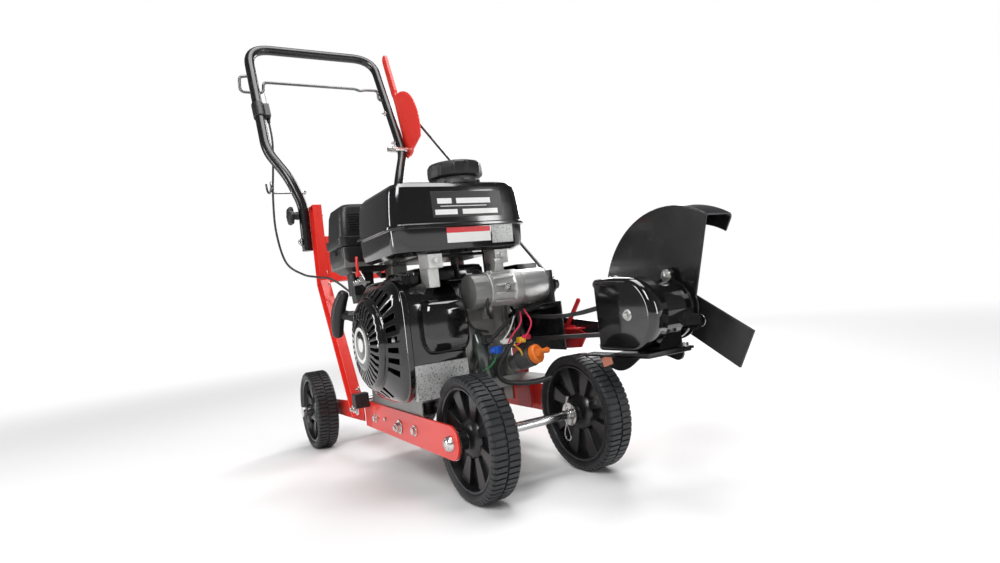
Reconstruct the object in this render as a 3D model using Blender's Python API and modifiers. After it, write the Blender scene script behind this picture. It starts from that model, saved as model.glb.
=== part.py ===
"""Lawn edger: a petrol engine on a four-wheeled steel frame, driving a blade on a swing arm by a belt.

The machine is laid out from the front axle: +X forward, +Y to the operator's left, +Z up, ground at Z = 0.
An empty named machine_origin then shifts all of it so that the frame's origin is under the middle of its box.
"""

import math

import bmesh
import bpy
from mathutils import Matrix, Vector

# Driving dimensions, in metres.
FRAME_SHIFT = (0.2620, -0.0238, 0.0)  # from the layout's origin to the middle of the box
GAP = 0.0003  # between pieces that touch

# Wheels and axles
FRONT_WHEEL_RADIUS = 0.1016
REAR_WHEEL_RADIUS = 0.0935
WHEEL_WIDTH = 0.050
AXLE_RADIUS = 0.008
REAR_AXLE_X = -0.673
RIGHT_FRONT_WHEEL_Y = -0.0425  # middle of the tread
LEFT_FRONT_WHEEL_Y = 0.1775
REAR_WHEEL_Y = 0.1295

# Frame
RIGHT_BAR_Y = (-0.0875, -0.0835)
LEFT_BAR_Y = (0.2150, 0.2190)
BAR_BOTTOM, BAR_TOP = 0.0745, 0.1300
BAR_REAR = -0.430
DECK_TOP = 0.1575
SHEET = 0.003
UPRIGHT_WEB_Y = 0.0878
UPRIGHT_DEPTH = 0.0217
UPRIGHT_LINE = ((-0.442, 0.105), (-0.620, 0.402), (-0.622, 0.592))

# Handlebar
TUBE_RADIUS = 0.0125
GRIP_BAR_X, GRIP_BAR_Z, GRIP_HALF_WIDTH = -0.850, 1.070, 0.178
LEG_KNEE = (-0.702, 0.182, 0.748)
LEG_FOOT_Y = 0.1225
BAIL_PIVOT = (-0.785, 0.925)

# Depth control
LEVER_PIVOT = (-0.695, 0.757)
LEVER_TIP = (-0.810, 1.058)
ROD_TOP = (-0.650, 0.824)
ROD_FOOT = (-0.090, 0.333)
QUADRANT_ARC = ((-0.728, 0.800), 0.128)

# Engine and drive
CRANK = (-0.1715, 0.264)
PULLEY_Y = (0.1235, 0.1415)
ENGINE_PULLEY_RADIUS = 0.031
STARTER_AXIS = (-0.050, 0.335)
CYLINDER_TILT = math.radians(25)
TANK_X = (-0.252, -0.045)
TANK_Y = (-0.1300, 0.1400)
TANK_Z = (0.4055, 0.4535, 0.5310)  # bottom, seam, top
CAP = (-0.108, 0.030)  # where the filler cap turns, in X and Y
BELT_SAG = 0.023
IDLER_PIVOT = (-0.152, 0.352)
IDLER_PULLEY = (-0.117, 0.321)

# Blade head
SPINDLE = (0.213, 0.275)
HEAD_PULLEY_RADIUS = 0.0275
BLADE_LENGTH, BLADE_WIDTH, BLADE_ANGLE = 0.254, 0.060, math.radians(-30)
GUARD_RADIUS = 0.155

for leftover in list(bpy.data.objects):
    bpy.data.objects.remove(leftover)

PARTS = bpy.data.collections.new("lawn_edger")
CUTTERS = bpy.data.collections.new("cutters")
ORIGIN = bpy.data.objects.new("machine_origin", None)

FINISHES = {
    "red_paint": ((0.74, 0.055, 0.03), 0.35, 0.0),
    "black_paint": ((0.012, 0.012, 0.013), 0.28, 0.0),
    "black_plastic": ((0.016, 0.016, 0.017), 0.5, 0.0),
    "gloss_black": ((0.008, 0.008, 0.009), 0.15, 0.0),
    "zinc": ((0.62, 0.62, 0.60), 0.3, 1.0),
    "steel": ((0.45, 0.45, 0.46), 0.35, 1.0),
    "cast_aluminium": ((0.33, 0.33, 0.33), 0.5, 0.8),
    "rubber": ((0.02, 0.02, 0.021), 0.8, 0.0),
    "orange_plastic": ((0.85, 0.26, 0.04), 0.4, 0.0),
    "blade_steel": ((0.02, 0.02, 0.022), 0.4, 0.4),
}


# ---------------------------------------------------------------- helpers


def material(finish):
    found = bpy.data.materials.get(finish)
    if found:
        return found
    colour, roughness, metallic = FINISHES[finish]
    made = bpy.data.materials.new(finish)
    made.use_nodes = True
    shader = made.node_tree.nodes["Principled BSDF"]
    shader.inputs["Base Color"].default_value = (*colour, 1)
    shader.inputs["Roughness"].default_value = roughness
    shader.inputs["Metallic"].default_value = metallic
    return made


def add(name, data, finish, location=(0, 0, 0), turn=None):
    """A named part holding this mesh or curve. With no finish it is a helper for a Boolean."""
    obj = bpy.data.objects.new(name, data)
    obj.location = location
    if turn is not None:
        obj.rotation_euler = turn
    obj.parent = ORIGIN
    if finish is None:
        CUTTERS.objects.link(obj)
        obj.hide_render = True
        obj.display_type = "WIRE"
    else:
        PARTS.objects.link(obj)
        data.materials.append(material(finish))
    return obj


def smooth(obj, degrees=35):
    obj.data.shade_smooth()
    obj.data.set_sharp_from_angle(angle=math.radians(degrees))
    return obj


def box(name, low, high, finish=None, bevel=0.0):
    """A box between two corners, with its origin at its middle."""
    low, high = Vector(low), Vector(high)
    mesh = bpy.data.meshes.new(name)
    shape = bmesh.new()
    bmesh.ops.create_cube(shape, size=1, matrix=Matrix.Diagonal((*(high - low), 1)))
    shape.to_mesh(mesh)
    shape.free()
    obj = add(name, mesh, finish, (low + high) / 2)
    if bevel:
        edges = obj.modifiers.new("rounded_edges", "BEVEL")
        edges.width = bevel
        edges.segments = 2
    return obj


def rod(name, start, end, radius, finish=None, sides=24, end_radius=None):
    """A cylinder, or a cone, from start to end."""
    start, end = Vector(start), Vector(end)
    along = end - start
    mesh = bpy.data.meshes.new(name)
    shape = bmesh.new()
    bmesh.ops.create_cone(
        shape,
        cap_ends=True,
        segments=sides,
        radius1=radius,
        radius2=radius if end_radius is None else end_radius,
        depth=along.length,
    )
    shape.to_mesh(mesh)
    shape.free()
    obj = add(name, mesh, finish, (start + end) / 2, along.to_track_quat("Z", "Y").to_euler())
    return smooth(obj)


def across(name, x, z, y_from, y_to, radius, finish=None, sides=24):
    """A cylinder whose axis runs across the machine."""
    return rod(name, (x, y_from, z), (x, y_to, z), radius, finish, sides)


def turned(name, profile, centre, finish=None, axis="Y", steps=32):
    """A solid of revolution. profile is (radius, height) from top to bottom down the outside."""
    mesh = bpy.data.meshes.new(name)
    shape = bmesh.new()
    points = [shape.verts.new((radius, 0, height)) for radius, height in profile]
    for first, second in zip(points, points[1:]):
        shape.edges.new((first, second))
    if profile[0][0] > 0:
        shape.edges.new((points[-1], points[0]))
    shape.to_mesh(mesh)
    shape.free()
    turn = {"Y": (-math.pi / 2, 0, 0), "Z": (0, 0, 0)}[axis] if isinstance(axis, str) else axis
    obj = add(name, mesh, finish, centre, turn)
    screw = obj.modifiers.new("turned", "SCREW")
    screw.steps = screw.render_steps = steps
    screw.use_merge_vertices = True
    screw.merge_threshold = 0.00001
    screw.use_smooth_shade = True
    return obj


def ring(name, inner, outer, centre, width, finish=None, steps=24):
    """A plain bush or washer about a crosswise axis, its width centred on the place given."""
    half = width / 2
    profile = [(inner, half), (outer, half), (outer, -half), (inner, -half)]
    return turned(name, profile, centre, finish, steps=steps)


def arc(centre, radius, start, end, count=12):
    """Points round part of a circle, with the angles in degrees."""
    angles = [math.radians(start + (end - start) * i / count) for i in range(count + 1)]
    return [(centre[0] + radius * math.cos(a), centre[1] + radius * math.sin(a)) for a in angles]


def slot_outline(first, second, width, count=8):
    """The outline of a strap with round ends between two centres."""
    angle = math.degrees(math.atan2(second[1] - first[1], second[0] - first[0]))
    half = width / 2
    return arc(first, half, angle + 90, angle + 270, count) + arc(second, half, angle - 90, angle + 90, count)


def sheet(name, outline, y_low, y_high, finish=None):
    """A flat piece whose outline is in X and Z, between two values of Y."""
    curve = bpy.data.curves.new(name, "CURVE")
    curve.dimensions = "2D"
    curve.fill_mode = "BOTH"
    curve.extrude = (y_high - y_low) / 2
    spline = curve.splines.new("POLY")
    spline.points.add(len(outline) - 1)
    for point, (x, z) in zip(spline.points, outline):
        point.co = (x, z, 0, 1)
    spline.use_cyclic_u = True
    place, turn = (0, (y_low + y_high) / 2, 0), (math.pi / 2, 0, 0)
    return as_mesh(add(name, curve, finish, place, turn), finish)


def as_mesh(source, finish):
    """The same object as a mesh with its caps welded, so that it can be cut."""
    name = source.name
    bpy.context.view_layer.update()
    graph = bpy.context.evaluated_depsgraph_get()
    mesh = bpy.data.meshes.new_from_object(source.evaluated_get(graph))
    shape = bmesh.new()
    shape.from_mesh(mesh)
    bmesh.ops.remove_doubles(shape, verts=shape.verts, dist=0.00001)
    bmesh.ops.recalc_face_normals(shape, faces=shape.faces)
    shape.to_mesh(mesh)
    shape.free()
    place, turn = source.location.copy(), source.rotation_euler.copy()
    bpy.data.objects.remove(source)
    mesh.materials.clear()
    return smooth(add(name, mesh, finish, place, turn))


def tube(name, points, radius, finish=None, sides_level=2):
    """A round bar or wire along the points, with flat ends."""
    curve = bpy.data.curves.new(name, "CURVE")
    curve.dimensions = "3D"
    curve.bevel_depth = radius
    curve.bevel_resolution = sides_level
    curve.use_fill_caps = True
    spline = curve.splines.new("POLY")
    spline.points.add(len(points) - 1)
    for point, place in zip(spline.points, points):
        point.co = (*place, 1)
    return as_mesh(add(name, curve, finish), finish)


def rounded_path(points, bend, steps=5):
    """The points joined by straight runs, with each inner corner turned into a curve."""
    points = [Vector(p) for p in points]
    bends = bend if isinstance(bend, tuple) else (bend,) * (len(points) - 2)
    path = [points[0]]
    for before, corner, after, wanted in zip(points, points[1:], points[2:], bends):
        reach = min(wanted, (before - corner).length * 0.49, (after - corner).length * 0.49)
        first = corner + (before - corner).normalized() * reach
        last = corner + (after - corner).normalized() * reach
        for i in range(steps + 1):
            t = i / steps
            path.append(first.lerp(corner, t).lerp(corner.lerp(last, t), t))
    path.append(points[-1])
    return path


def smooth_path(points, step):
    """Points every step along a smooth curve through the points given."""
    points = [Vector(p) for p in points]
    padded = [2 * points[0] - points[1], *points, 2 * points[-1] - points[-2]]
    path = []
    for a, b, c, d in zip(padded, padded[1:], padded[2:], padded[3:]):
        count = max(2, round((c - b).length / step))
        for i in range(count):
            t = i / count
            path.append(
                0.5 * (2 * b + (c - a) * t)
                + 0.5 * ((2 * a - 5 * b + 4 * c - d) * t**2 + (3 * b - a - 3 * c + d) * t**3)
            )
    path.append(points[-1])
    return path


def combine(obj, operation, *others):
    for other in others:
        step = obj.modifiers.new(operation.lower(), "BOOLEAN")
        step.operation = operation
        step.object = other
        step.solver = "EXACT"
    return obj


def cut(obj, *cutters):
    return combine(obj, "DIFFERENCE", *cutters)


def join(obj, *pieces):
    return combine(obj, "UNION", *pieces)


def hole(name, x, z, radius, y_low, y_high, sides=20):
    return across(f"hole_{name}", x, z, y_low - 0.002, y_high + 0.002, radius, None, sides)


# ---------------------------------------------------------------- wheels and axles


def wheel(name, x, y, radius, hub_low, hub_high):
    """A rubber tyre on a moulded rim that runs on the axle."""
    half, rim = WHEEL_WIDTH / 2, radius - 0.017
    shoulder = 0.006
    tread = [
        (rim + GAP, half - shoulder),
        (radius - shoulder, half),
        (radius, half - shoulder),
        (radius, -half + shoulder),
        (radius - shoulder, -half),
        (rim + GAP, -half + shoulder),
    ]
    tyre = turned(f"{name}_tyre", tread, (x, y, radius), "rubber", steps=40)
    bore, boss, web = AXLE_RADIUS + GAP, 0.019, 0.006
    profile = [
        (bore, hub_high - y),
        (boss, hub_high - y),
        (boss, web),
        (rim - 0.006, web),
        (rim - 0.006, half - shoulder),
        (rim, half - shoulder),
        (rim, -half + shoulder),
        (rim - 0.006, -half + shoulder),
        (rim - 0.006, -web),
        (boss, -web),
        (boss, hub_low - y),
        (bore, hub_low - y),
    ]
    rim_part = turned(f"{name}_rim", profile, (x, y, radius), "black_plastic", steps=32)
    return tyre, rim_part


def wheels_and_axles():
    wheel("right_front_wheel", 0, RIGHT_FRONT_WHEEL_Y, FRONT_WHEEL_RADIUS, -0.0805, -0.0130)
    wheel("left_front_wheel", 0, LEFT_FRONT_WHEEL_Y, FRONT_WHEEL_RADIUS, 0.1475, 0.2045)
    wheel("right_rear_wheel", REAR_AXLE_X, -REAR_WHEEL_Y, REAR_WHEEL_RADIUS, -0.1600, -0.1000)
    wheel("left_rear_wheel", REAR_AXLE_X, REAR_WHEEL_Y, REAR_WHEEL_RADIUS, 0.1000, 0.1600)
    front = across("front_axle", 0, FRONT_WHEEL_RADIUS, -0.0950, 0.2265, AXLE_RADIUS, "steel")
    pin_hole = rod("hole_hairpin", (0, 0.142, 0.085), (0, 0.142, 0.118), 0.0020, None, 12)
    join(
        front,
        across("right_axle_head", 0, FRONT_WHEEL_RADIUS, -0.0960, RIGHT_BAR_Y[0] - GAP, 0.0105, None, 6),
        across("left_axle_head", 0, FRONT_WHEEL_RADIUS, LEFT_BAR_Y[1] + GAP, 0.2275, 0.0105, None, 6),
    )
    cut(front, pin_hole)
    hairpin()
    rear = across("rear_axle", REAR_AXLE_X, REAR_WHEEL_RADIUS, -0.1690, 0.1690, AXLE_RADIUS, "steel")
    for side, sign in (("right", -1), ("left", 1)):
        cap_from, cap_to = sign * (0.1600 + GAP), sign * 0.1700
        name = f"{side}_rear_axle_cap"
        join(rear, across(name, REAR_AXLE_X, REAR_WHEEL_RADIUS, cap_from, cap_to, 0.0130))


def hairpin():
    """A hitch-pin clip: one straight leg through the axle, one bowed leg round it, and a ring."""
    z, y = FRONT_WHEEL_RADIUS, 0.142
    turns = [i * math.pi / 8 for i in range(9)]
    bow = [(0.006 - 0.006 * math.cos(a), y, z + 0.022 + 0.006 * math.sin(a)) for a in turns]
    tail = [(0.0102, y, z + 0.012), (0.0112, y, z), (0.0102, y, z - 0.012), (0.0145, y, z - 0.020)]
    tube("hairpin_clip", [(0, y, z - 0.024), *bow, *tail], 0.0013, "zinc", 1)


# ---------------------------------------------------------------- frame


def side_bar(name, y_low, y_high, front_x):
    """A flat bar with a round front end about the axle."""
    middle, half = (BAR_BOTTOM + BAR_TOP) / 2, (BAR_TOP - BAR_BOTTOM) / 2
    outline = [(BAR_REAR, BAR_TOP), (BAR_REAR, BAR_BOTTOM), *arc((front_x, middle), half, -90, 90)]
    bar = sheet(name, outline, y_low, y_high, "red_paint")
    return cut(bar, hole(name, 0, FRONT_WHEEL_RADIUS, AXLE_RADIUS + GAP, y_low, y_high))


def deck():
    """The folded plate that carries the engine, with a flange down each side bar."""
    low = DECK_TOP - 0.004
    right, left = RIGHT_BAR_Y[1] + GAP, LEFT_BAR_Y[0] - GAP
    plate = box("engine_deck", (-0.380, right, low), (-0.106, left, DECK_TOP), "zinc")
    join(
        plate,
        box("deck_right_flange", (-0.380, right, 0.088), (-0.112, right + SHEET, DECK_TOP - 0.001)),
        box("deck_left_flange", (-0.380, left - SHEET, 0.088), (-0.300, left, DECK_TOP - 0.001)),
        box("deck_rear_flange", (-0.380, right, 0.096), (-0.377, left, DECK_TOP - 0.001)),
        box("deck_rear_shelf", (-0.4215, right, 0.096), (-0.378, left, 0.100)),
        box("deck_rear_lip", (-0.4215, right, 0.097), (-0.4185, left, 0.127)),
    )
    cut(plate, box("deck_notch", (-0.268, 0.1985, 0.10), (-0.05, 0.30, 0.20)))


def left_pivot_plate():
    """A plate standing on the left bar that carries the swing arm's pivot in line with the engine shaft."""
    y_low, y_high = 0.2000, 0.2030
    outline = [
        (-0.262, 0.080),
        (-0.208, 0.080),
        (-0.206, 0.196),
        (-0.160, 0.216),
        (-0.085, 0.208),
        (-0.015, 0.212),
        (0.006, 0.236),
        (-0.030, 0.252),
        (-0.110, 0.262),
        *arc(CRANK, 0.026, 20, 160, 6),
        (-0.262, 0.240),
    ]
    plate = sheet("left_pivot_plate", outline, y_low, y_high, "red_paint")
    flange = box("pivot_plate_flange", (-0.045, y_low - 0.016, 0.2465), (0.004, y_low + 0.001, 0.2490))
    strap = sheet("pivot_plate_strap", slot_outline((-0.062, 0.240), (-0.009, 0.298), 0.009), y_low, y_high)
    cut(join(plate, flange, strap), hole("pivot_plate", *CRANK, 0.0065, y_low, y_high))
    shank = across("arm_pivot_bolt", *CRANK, 0.1945, 0.2135, 0.0060, "zinc")
    join(
        shank,
        across("pivot_head", *CRANK, 0.1900, 0.1996, 0.0105, None, 6),
        across("pivot_nut", *CRANK, 0.2095, 0.2140, 0.0105, None, 6),
    )


def offset_line(line, distance):
    """A line beside this one, at the distance given to its right."""
    points = [Vector(p) for p in line]
    moved = []
    for i, point in enumerate(points):
        before = points[max(i - 1, 0)]
        after = points[min(i + 1, len(points) - 1)]
        first = (point - before).normalized() if i else (after - point).normalized()
        last = (after - point).normalized() if i < len(points) - 1 else first
        bisector = (first + last).normalized()
        normal = Vector((bisector.y, -bisector.x))
        moved.append(tuple(point + normal * distance / max(0.2, bisector.dot(first))))
    return moved


def rear_arm(side):
    """The arm from the foot of an upright back to the rear axle."""
    outline = [
        (-0.432, 0.126),
        (-0.650, 0.112),
        *arc((REAR_AXLE_X, REAR_WHEEL_RADIUS), 0.020, 60, 300, 8),
        (-0.560, 0.079),
        (-0.432, 0.084),
    ]
    y_low, y_high = sorted((side * UPRIGHT_WEB_Y, side * (UPRIGHT_WEB_Y + SHEET)))
    return sheet("rear_axle_arm", outline, y_low, y_high)


def upright(name, side):
    """A folded channel from the side bar to the handlebar foot, its flanges turned outwards."""
    width = 0.040
    outer = offset_line(UPRIGHT_LINE, width / 2) + offset_line(UPRIGHT_LINE, -width / 2)[::-1]
    inner_line = [(UPRIGHT_LINE[0][0] + 0.010, UPRIGHT_LINE[0][1] - 0.0167), *UPRIGHT_LINE[1:]]
    inner_line[-1] = (UPRIGHT_LINE[-1][0], UPRIGHT_LINE[-1][1] - SHEET)
    half = width / 2 - SHEET
    inner = offset_line(inner_line, half) + offset_line(inner_line, -half)[::-1]
    web, edge = UPRIGHT_WEB_Y, UPRIGHT_WEB_Y + UPRIGHT_DEPTH
    low, high = (web, edge) if side > 0 else (-edge, -web)
    body = sheet(name, outer, low, high, "red_paint")
    recess = (web + SHEET, edge + 0.005) if side > 0 else (-edge - 0.005, -web - SHEET)
    cut(body, sheet(f"{name}_recess", inner, *recess))
    join(body, rear_arm(side))
    return cut(body, hole(name, REAR_AXLE_X, REAR_WHEEL_RADIUS, AXLE_RADIUS + GAP, low, high))


def console():
    """The panel and gusset between the uprights."""
    inner = UPRIGHT_WEB_Y - GAP
    panel = box("console_panel", (-0.606, -inner, 0.400), (-0.603, inner, 0.514), "red_paint")
    shelf = box("console_shelf", (-0.6045, -inner, 0.400), (-0.560, inner, 0.403))
    join(panel, shelf)


# ---------------------------------------------------------------- handlebar and controls


def leg_points(side):
    """One leg from its foot up to the grip bar."""
    foot = [(-0.640, LEG_FOOT_Y, 0.484), (-0.641, LEG_FOOT_Y, 0.598), (-0.657, 0.144, 0.668)]
    return [(x, side * y, z) for x, y, z in [*foot, LEG_KNEE, (GRIP_BAR_X, GRIP_HALF_WIDTH, GRIP_BAR_Z)]]


def leg_x(z):
    """Where the leg's centre line is at a height above the knee."""
    share = (z - LEG_KNEE[2]) / (GRIP_BAR_Z - LEG_KNEE[2])
    return LEG_KNEE[0] + share * (GRIP_BAR_X - LEG_KNEE[0])


def handlebar():
    right, left = leg_points(-1), leg_points(1)
    bends = (0.020, 0.030, 0.030, 0.062)
    path = rounded_path(right + left[::-1], (*bends, *bends[::-1]), 4)
    bar = tube("handlebar", path, TUBE_RADIUS, "black_paint", 3)
    for side, sign in (("right", -1), ("left", 1)):
        y_low, y_high = sorted((sign * 0.150, sign * 0.210))
        cut(bar, hole(f"bail_{side}", *BAIL_PIVOT, 0.0042, y_low, y_high, 12))


def handle_fasteners():
    foot_x = -0.640
    for side, sign in (("right", -1), ("left", 1)):
        face = sign * (LEG_FOOT_Y + TUBE_RADIUS + 0.0010)
        lobes = 6
        outline = []
        for i in range(lobes * 6):
            angle = 2 * math.pi * i / (lobes * 6)
            reach = 0.0205 + 0.0028 * math.cos(lobes * angle)
            outline.append((foot_x + reach * math.cos(angle), 0.572 + reach * math.sin(angle)))
        y_low, y_high = sorted((face + sign * 0.012, face + sign * 0.026))
        knob = sheet(f"{side}_handle_knob", outline, y_low, y_high, "black_plastic")
        stem = across(f"{side}_knob_stem", foot_x, 0.572, face, face + sign * 0.014, 0.0090)
        join(knob, stem)


def bail():
    """The wire hoop held against the grip bar to run the blade, with a crank outside the right leg."""
    x, z = BAIL_PIVOT
    crank = [(x + 0.012, -0.2165, z + 0.036), (x, -0.2165, z)]
    arm_y, cross_x, cross_z = 0.158, x + 0.006, z + 0.027
    hoop = [(x, -arm_y, z), (cross_x, -arm_y, cross_z), (cross_x, arm_y, cross_z), (x, arm_y, z)]
    path = [*crank, *hoop, (x, 0.1925, z)]
    tube("bail", rounded_path(path, 0.010, 3), 0.0034, "zinc", 1)


def cable():
    """The sheathed blade control cable, from the right leg down to the idler arm."""
    route = [
        (-0.757, -0.1590, 0.844),
        (-0.736, -0.1590, 0.790),
        (-0.722, -0.1640, 0.740),
        (-0.706, -0.1720, 0.690),
        (-0.686, -0.1820, 0.625),
        (-0.672, -0.1860, 0.540),
        (-0.664, -0.1720, 0.462),
        (-0.640, -0.1400, 0.428),
        (-0.590, -0.1180, 0.415),
        (-0.545, -0.0900, 0.400),
        (-0.500, -0.0300, 0.330),
        (-0.450, 0.0600, 0.240),
        (-0.380, 0.1000, 0.225),
        (-0.310, 0.1180, 0.262),
        (-0.250, 0.1180, 0.325),
        (-0.204, 0.1180, 0.350),
    ]
    tube("control_cable", smooth_path(route, 0.016), 0.0025, "rubber", 1)


def rope_guide():
    """The open wire eye on the right leg that the starter rope hangs in."""
    x, y, z = -0.646, -0.1495, 0.643
    turns = [
        (x + 0.013 * math.sin(a), y - 0.036 - 0.0011 * i, z + 0.013 * math.cos(a))
        for i, a in enumerate(i * math.pi / 5 for i in range(5, 20))
    ]
    tube("rope_guide", [(x, y, z - 0.013), (x, y - 0.028, z - 0.013), *turns], 0.0026, "zinc", 1)


def depth_quadrant():
    """The notched sector on the left leg that the depth lever latches into."""
    y_low, y_high = 0.1950, 0.1980
    centre, radius = QUADRANT_ARC
    rim = arc(centre, radius, -13, 0, 2)
    for angle in range(4, 76, 5):
        rim += [
            arc(centre, radius, angle, angle, 1)[0],
            arc(centre, radius - 0.0035, angle + 1, angle + 1, 1)[0],
            arc(centre, radius, angle + 2, angle + 2, 1)[0],
        ]
    rim += arc(centre, radius, 80, 104, 5)
    foot = (LEVER_PIVOT[0] + 0.012, LEVER_PIVOT[1] - 0.016)
    outline = [foot, *rim, *arc(LEVER_PIVOT, 0.024, 150, 250, 4)]
    plate = sheet("depth_quadrant", outline, y_low, y_high, "red_paint")
    pin = across("lever_pivot_pin", *LEVER_PIVOT, y_high - 0.001, 0.2085, 0.0060)
    head = across("lever_pivot_head", *LEVER_PIVOT, 0.2034, 0.2090, 0.0105, None, 6)
    join(plate, pin, head)


def depth_lever():
    """The lever beside the quadrant, with the short arm that drives the depth rod."""
    y_low, y_high = 0.1990, 0.2030
    lever = sheet("depth_lever", slot_outline(LEVER_PIVOT, LEVER_TIP, 0.020), y_low, y_high, "red_paint")
    along = Vector(LEVER_TIP) - Vector(LEVER_PIVOT)
    grip_foot = Vector(LEVER_PIVOT) + along * 0.62
    grip_outline = slot_outline(tuple(grip_foot), LEVER_TIP, 0.026)
    join(
        lever,
        sheet("lever_grip", grip_outline, y_low - 0.0002, y_high + 0.0040),
        sheet("lever_arm", slot_outline(LEVER_PIVOT, ROD_TOP, 0.024), y_low, y_high),
        sheet("lever_boss", arc(LEVER_PIVOT, 0.018, 0, 345, 23), y_low, y_high),
        across("rod_top_pin", *ROD_TOP, y_high - 0.001, 0.2165, 0.0040, None, 16),
    )
    cut(lever, hole("lever", *LEVER_PIVOT, 0.0065, y_low, y_high))


def depth_rod():
    """The rod from the lever down to the swing arm, with an eye at each end."""
    y = 0.2125
    bar = rod("depth_rod", (ROD_TOP[0], y, ROD_TOP[1]), (ROD_FOOT[0], y, ROD_FOOT[1]), 0.0032, "steel", 12)
    ends = (ROD_TOP, ROD_FOOT)
    eyes = [across(f"rod_eye_{i}", *p, y - 0.0030, y + 0.0030, 0.0095) for i, p in enumerate(ends)]
    join(bar, *eyes)
    cut(bar, hole("rod_top", *ROD_TOP, 0.0045, 0.2090, 0.2160, 16))
    cut(bar, hole("rod_foot", *ROD_FOOT, 0.0058, 0.2090, 0.2160, 16))


# ---------------------------------------------------------------- engine


def crankcase():
    x, z = CRANK
    low, high = (x - 0.088, -0.004, DECK_TOP + GAP), (x + 0.086, 0.098, z + 0.084)
    body = box("crankcase", low, high, "cast_aluminium", 0.010)
    join(
        body,
        across("crankcase_bell", x, z, -0.0040, 0.060, 0.098, None, 32),
        box("crankcase_foot", (x - 0.098, 0.000, DECK_TOP + GAP), (x + 0.092, 0.094, DECK_TOP + 0.012)),
        across("starter_boss", *STARTER_AXIS, 0.000, 0.030, 0.030, None, 24),
        sheet("starter_lug", slot_outline((-0.115, 0.310), STARTER_AXIS, 0.040), 0.002, 0.028),
        across("shaft_boss", x, z, 0.090, 0.1120, 0.0340, None, 28),
        across("idler_post", *IDLER_PIVOT, 0.060, 0.1235, 0.0056, None, 16),
        across("idler_post_head", *IDLER_PIVOT, 0.1203, 0.1235, 0.0090, None, 16),
        sheet("idler_lug", slot_outline(IDLER_PIVOT, (IDLER_PIVOT[0], 0.330), 0.026), 0.060, 0.098),
        rod("filler_neck", (-0.100, 0.060, 0.185), (-0.018, 0.0960, 0.2130), 0.0145, None, 20),
    )
    cut(
        body,
        across("crank_bore", x, z, -0.010, 0.120, 0.0155, None, 24),
        box("under_deck", (x - 0.2, -0.1, 0.10), (x + 0.2, 0.2, DECK_TOP + GAP)),
    )


def cylinder():
    """The finned cylinder and its head, leaning back from the crankcase."""
    x, z = CRANK
    lean = (0, CYLINDER_TILT, 0)

    def on_axis(reach, lift=0.0):
        return (
            x - reach * math.cos(CYLINDER_TILT) + lift * math.sin(CYLINDER_TILT),
            z + reach * math.sin(CYLINDER_TILT) + lift * math.cos(CYLINDER_TILT),
        )

    def block(name, reach_from, reach_to, y_half, z_half, finish=None, y=0.047):
        cx, cz = on_axis((reach_from + reach_to) / 2)
        x_half = (reach_to - reach_from) / 2
        piece = box(name, (-x_half, -y_half, -z_half), (x_half, y_half, z_half), finish)
        piece.location = (cx, y, cz)
        piece.rotation_euler = lean
        return piece

    barrel = block("cylinder", 0.115, 0.160, 0.040, 0.040, "cast_aluminium")
    fins = [block(f"fin_{i}", 0.1165 + i * 0.011, 0.1200 + i * 0.011, 0.050, 0.052) for i in range(4)]
    head = block("cylinder_head", 0.158, 0.205, 0.048, 0.052)
    cover = block("valve_cover", 0.2053, 0.228, 0.040, 0.042, "black_paint")
    edge = cover.modifiers.new("rounded_edges", "BEVEL")
    edge.width, edge.segments = 0.006, 2
    qx, qz = on_axis(0.185, -0.085)
    nx, nz = on_axis(0.170, -0.040)
    plug = rod("spark_plug", (nx, 0.035, nz), (qx, 0.022, qz), 0.0080, None, 12)
    join(barrel, head, plug, *fins)
    sx, sz = on_axis(0.1853, -0.0862)
    tx, tz = on_axis(0.193, -0.112)
    rod("spark_plug_cap", (sx, 0.0218, sz), (tx, 0.015, tz), 0.0120, "black_plastic", 14)


def blower_housing():
    """The hollow shroud round the flywheel, its face open behind the recoil cover."""
    x, z = CRANK
    bottom = DECK_TOP + 0.001
    shoulder = [(x - 0.050, z + 0.110), (x - 0.112, z + 0.088)]
    outline = [*arc(CRANK, 0.105, -88, 84, 18), *shoulder, *arc(CRANK, 0.106, 170, 268, 10)]
    shell = sheet("blower_housing", outline, -0.1150, -0.0045, "gloss_black")
    cut(
        shell,
        across("housing_hollow", x, z, -0.1120, 0.010, 0.1000, None, 32),
        across("housing_mouth", x, z, -0.130, -0.100, 0.0860, None, 32),
        box("housing_foot_cut", (x - 0.2, -0.2, 0.10), (x + 0.2, 0.1, bottom)),
    )
    recoil = turned(
        "recoil_cover",
        [
            (0.0, 0.0030),
            (0.0580, 0.0042),
            (0.0755, 0.0105),
            (0.0815, 0.0235),
            (0.0870, 0.0395),
            (0.0870, 0.0435),
            (0.0960, 0.0435),
            (0.0960, 0.0395),
            (0.0900, 0.0370),
            (0.0840, 0.0210),
            (0.0780, 0.0080),
            (0.0600, 0.0015),
            (0.0, 0.0),
        ],
        (x, -0.1590, z),
        "gloss_black",
        steps=36,
    )
    return recoil


def flywheel():
    """The flywheel and fan on the crankshaft, with the engine pulley at its other end."""
    x, z = CRANK
    shaft = turned(
        "crankshaft",
        [
            *((0.0, 0.1535), (0.0095, 0.1535), (0.0095, 0.1145), (0.0150, 0.1145)),
            *((0.0150, -0.0150), (0.0090, -0.0150), (0.0090, -0.1000), (0.0, -0.1000)),
        ],
        (x, 0.0, z),
        "steel",
        steps=24,
    )
    turned(
        "flywheel",
        [
            *((0.0093, -0.0200), (0.0850, -0.0200), (0.0850, -0.0400)),
            *((0.0600, -0.0500), (0.0600, -0.0700), (0.0093, -0.0700)),
        ],
        (x, 0.0, z),
        "cast_aluminium",
        steps=32,
    )
    pulley("engine_pulley", CRANK, ENGINE_PULLEY_RADIUS, 0.0098)
    return shaft


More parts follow.
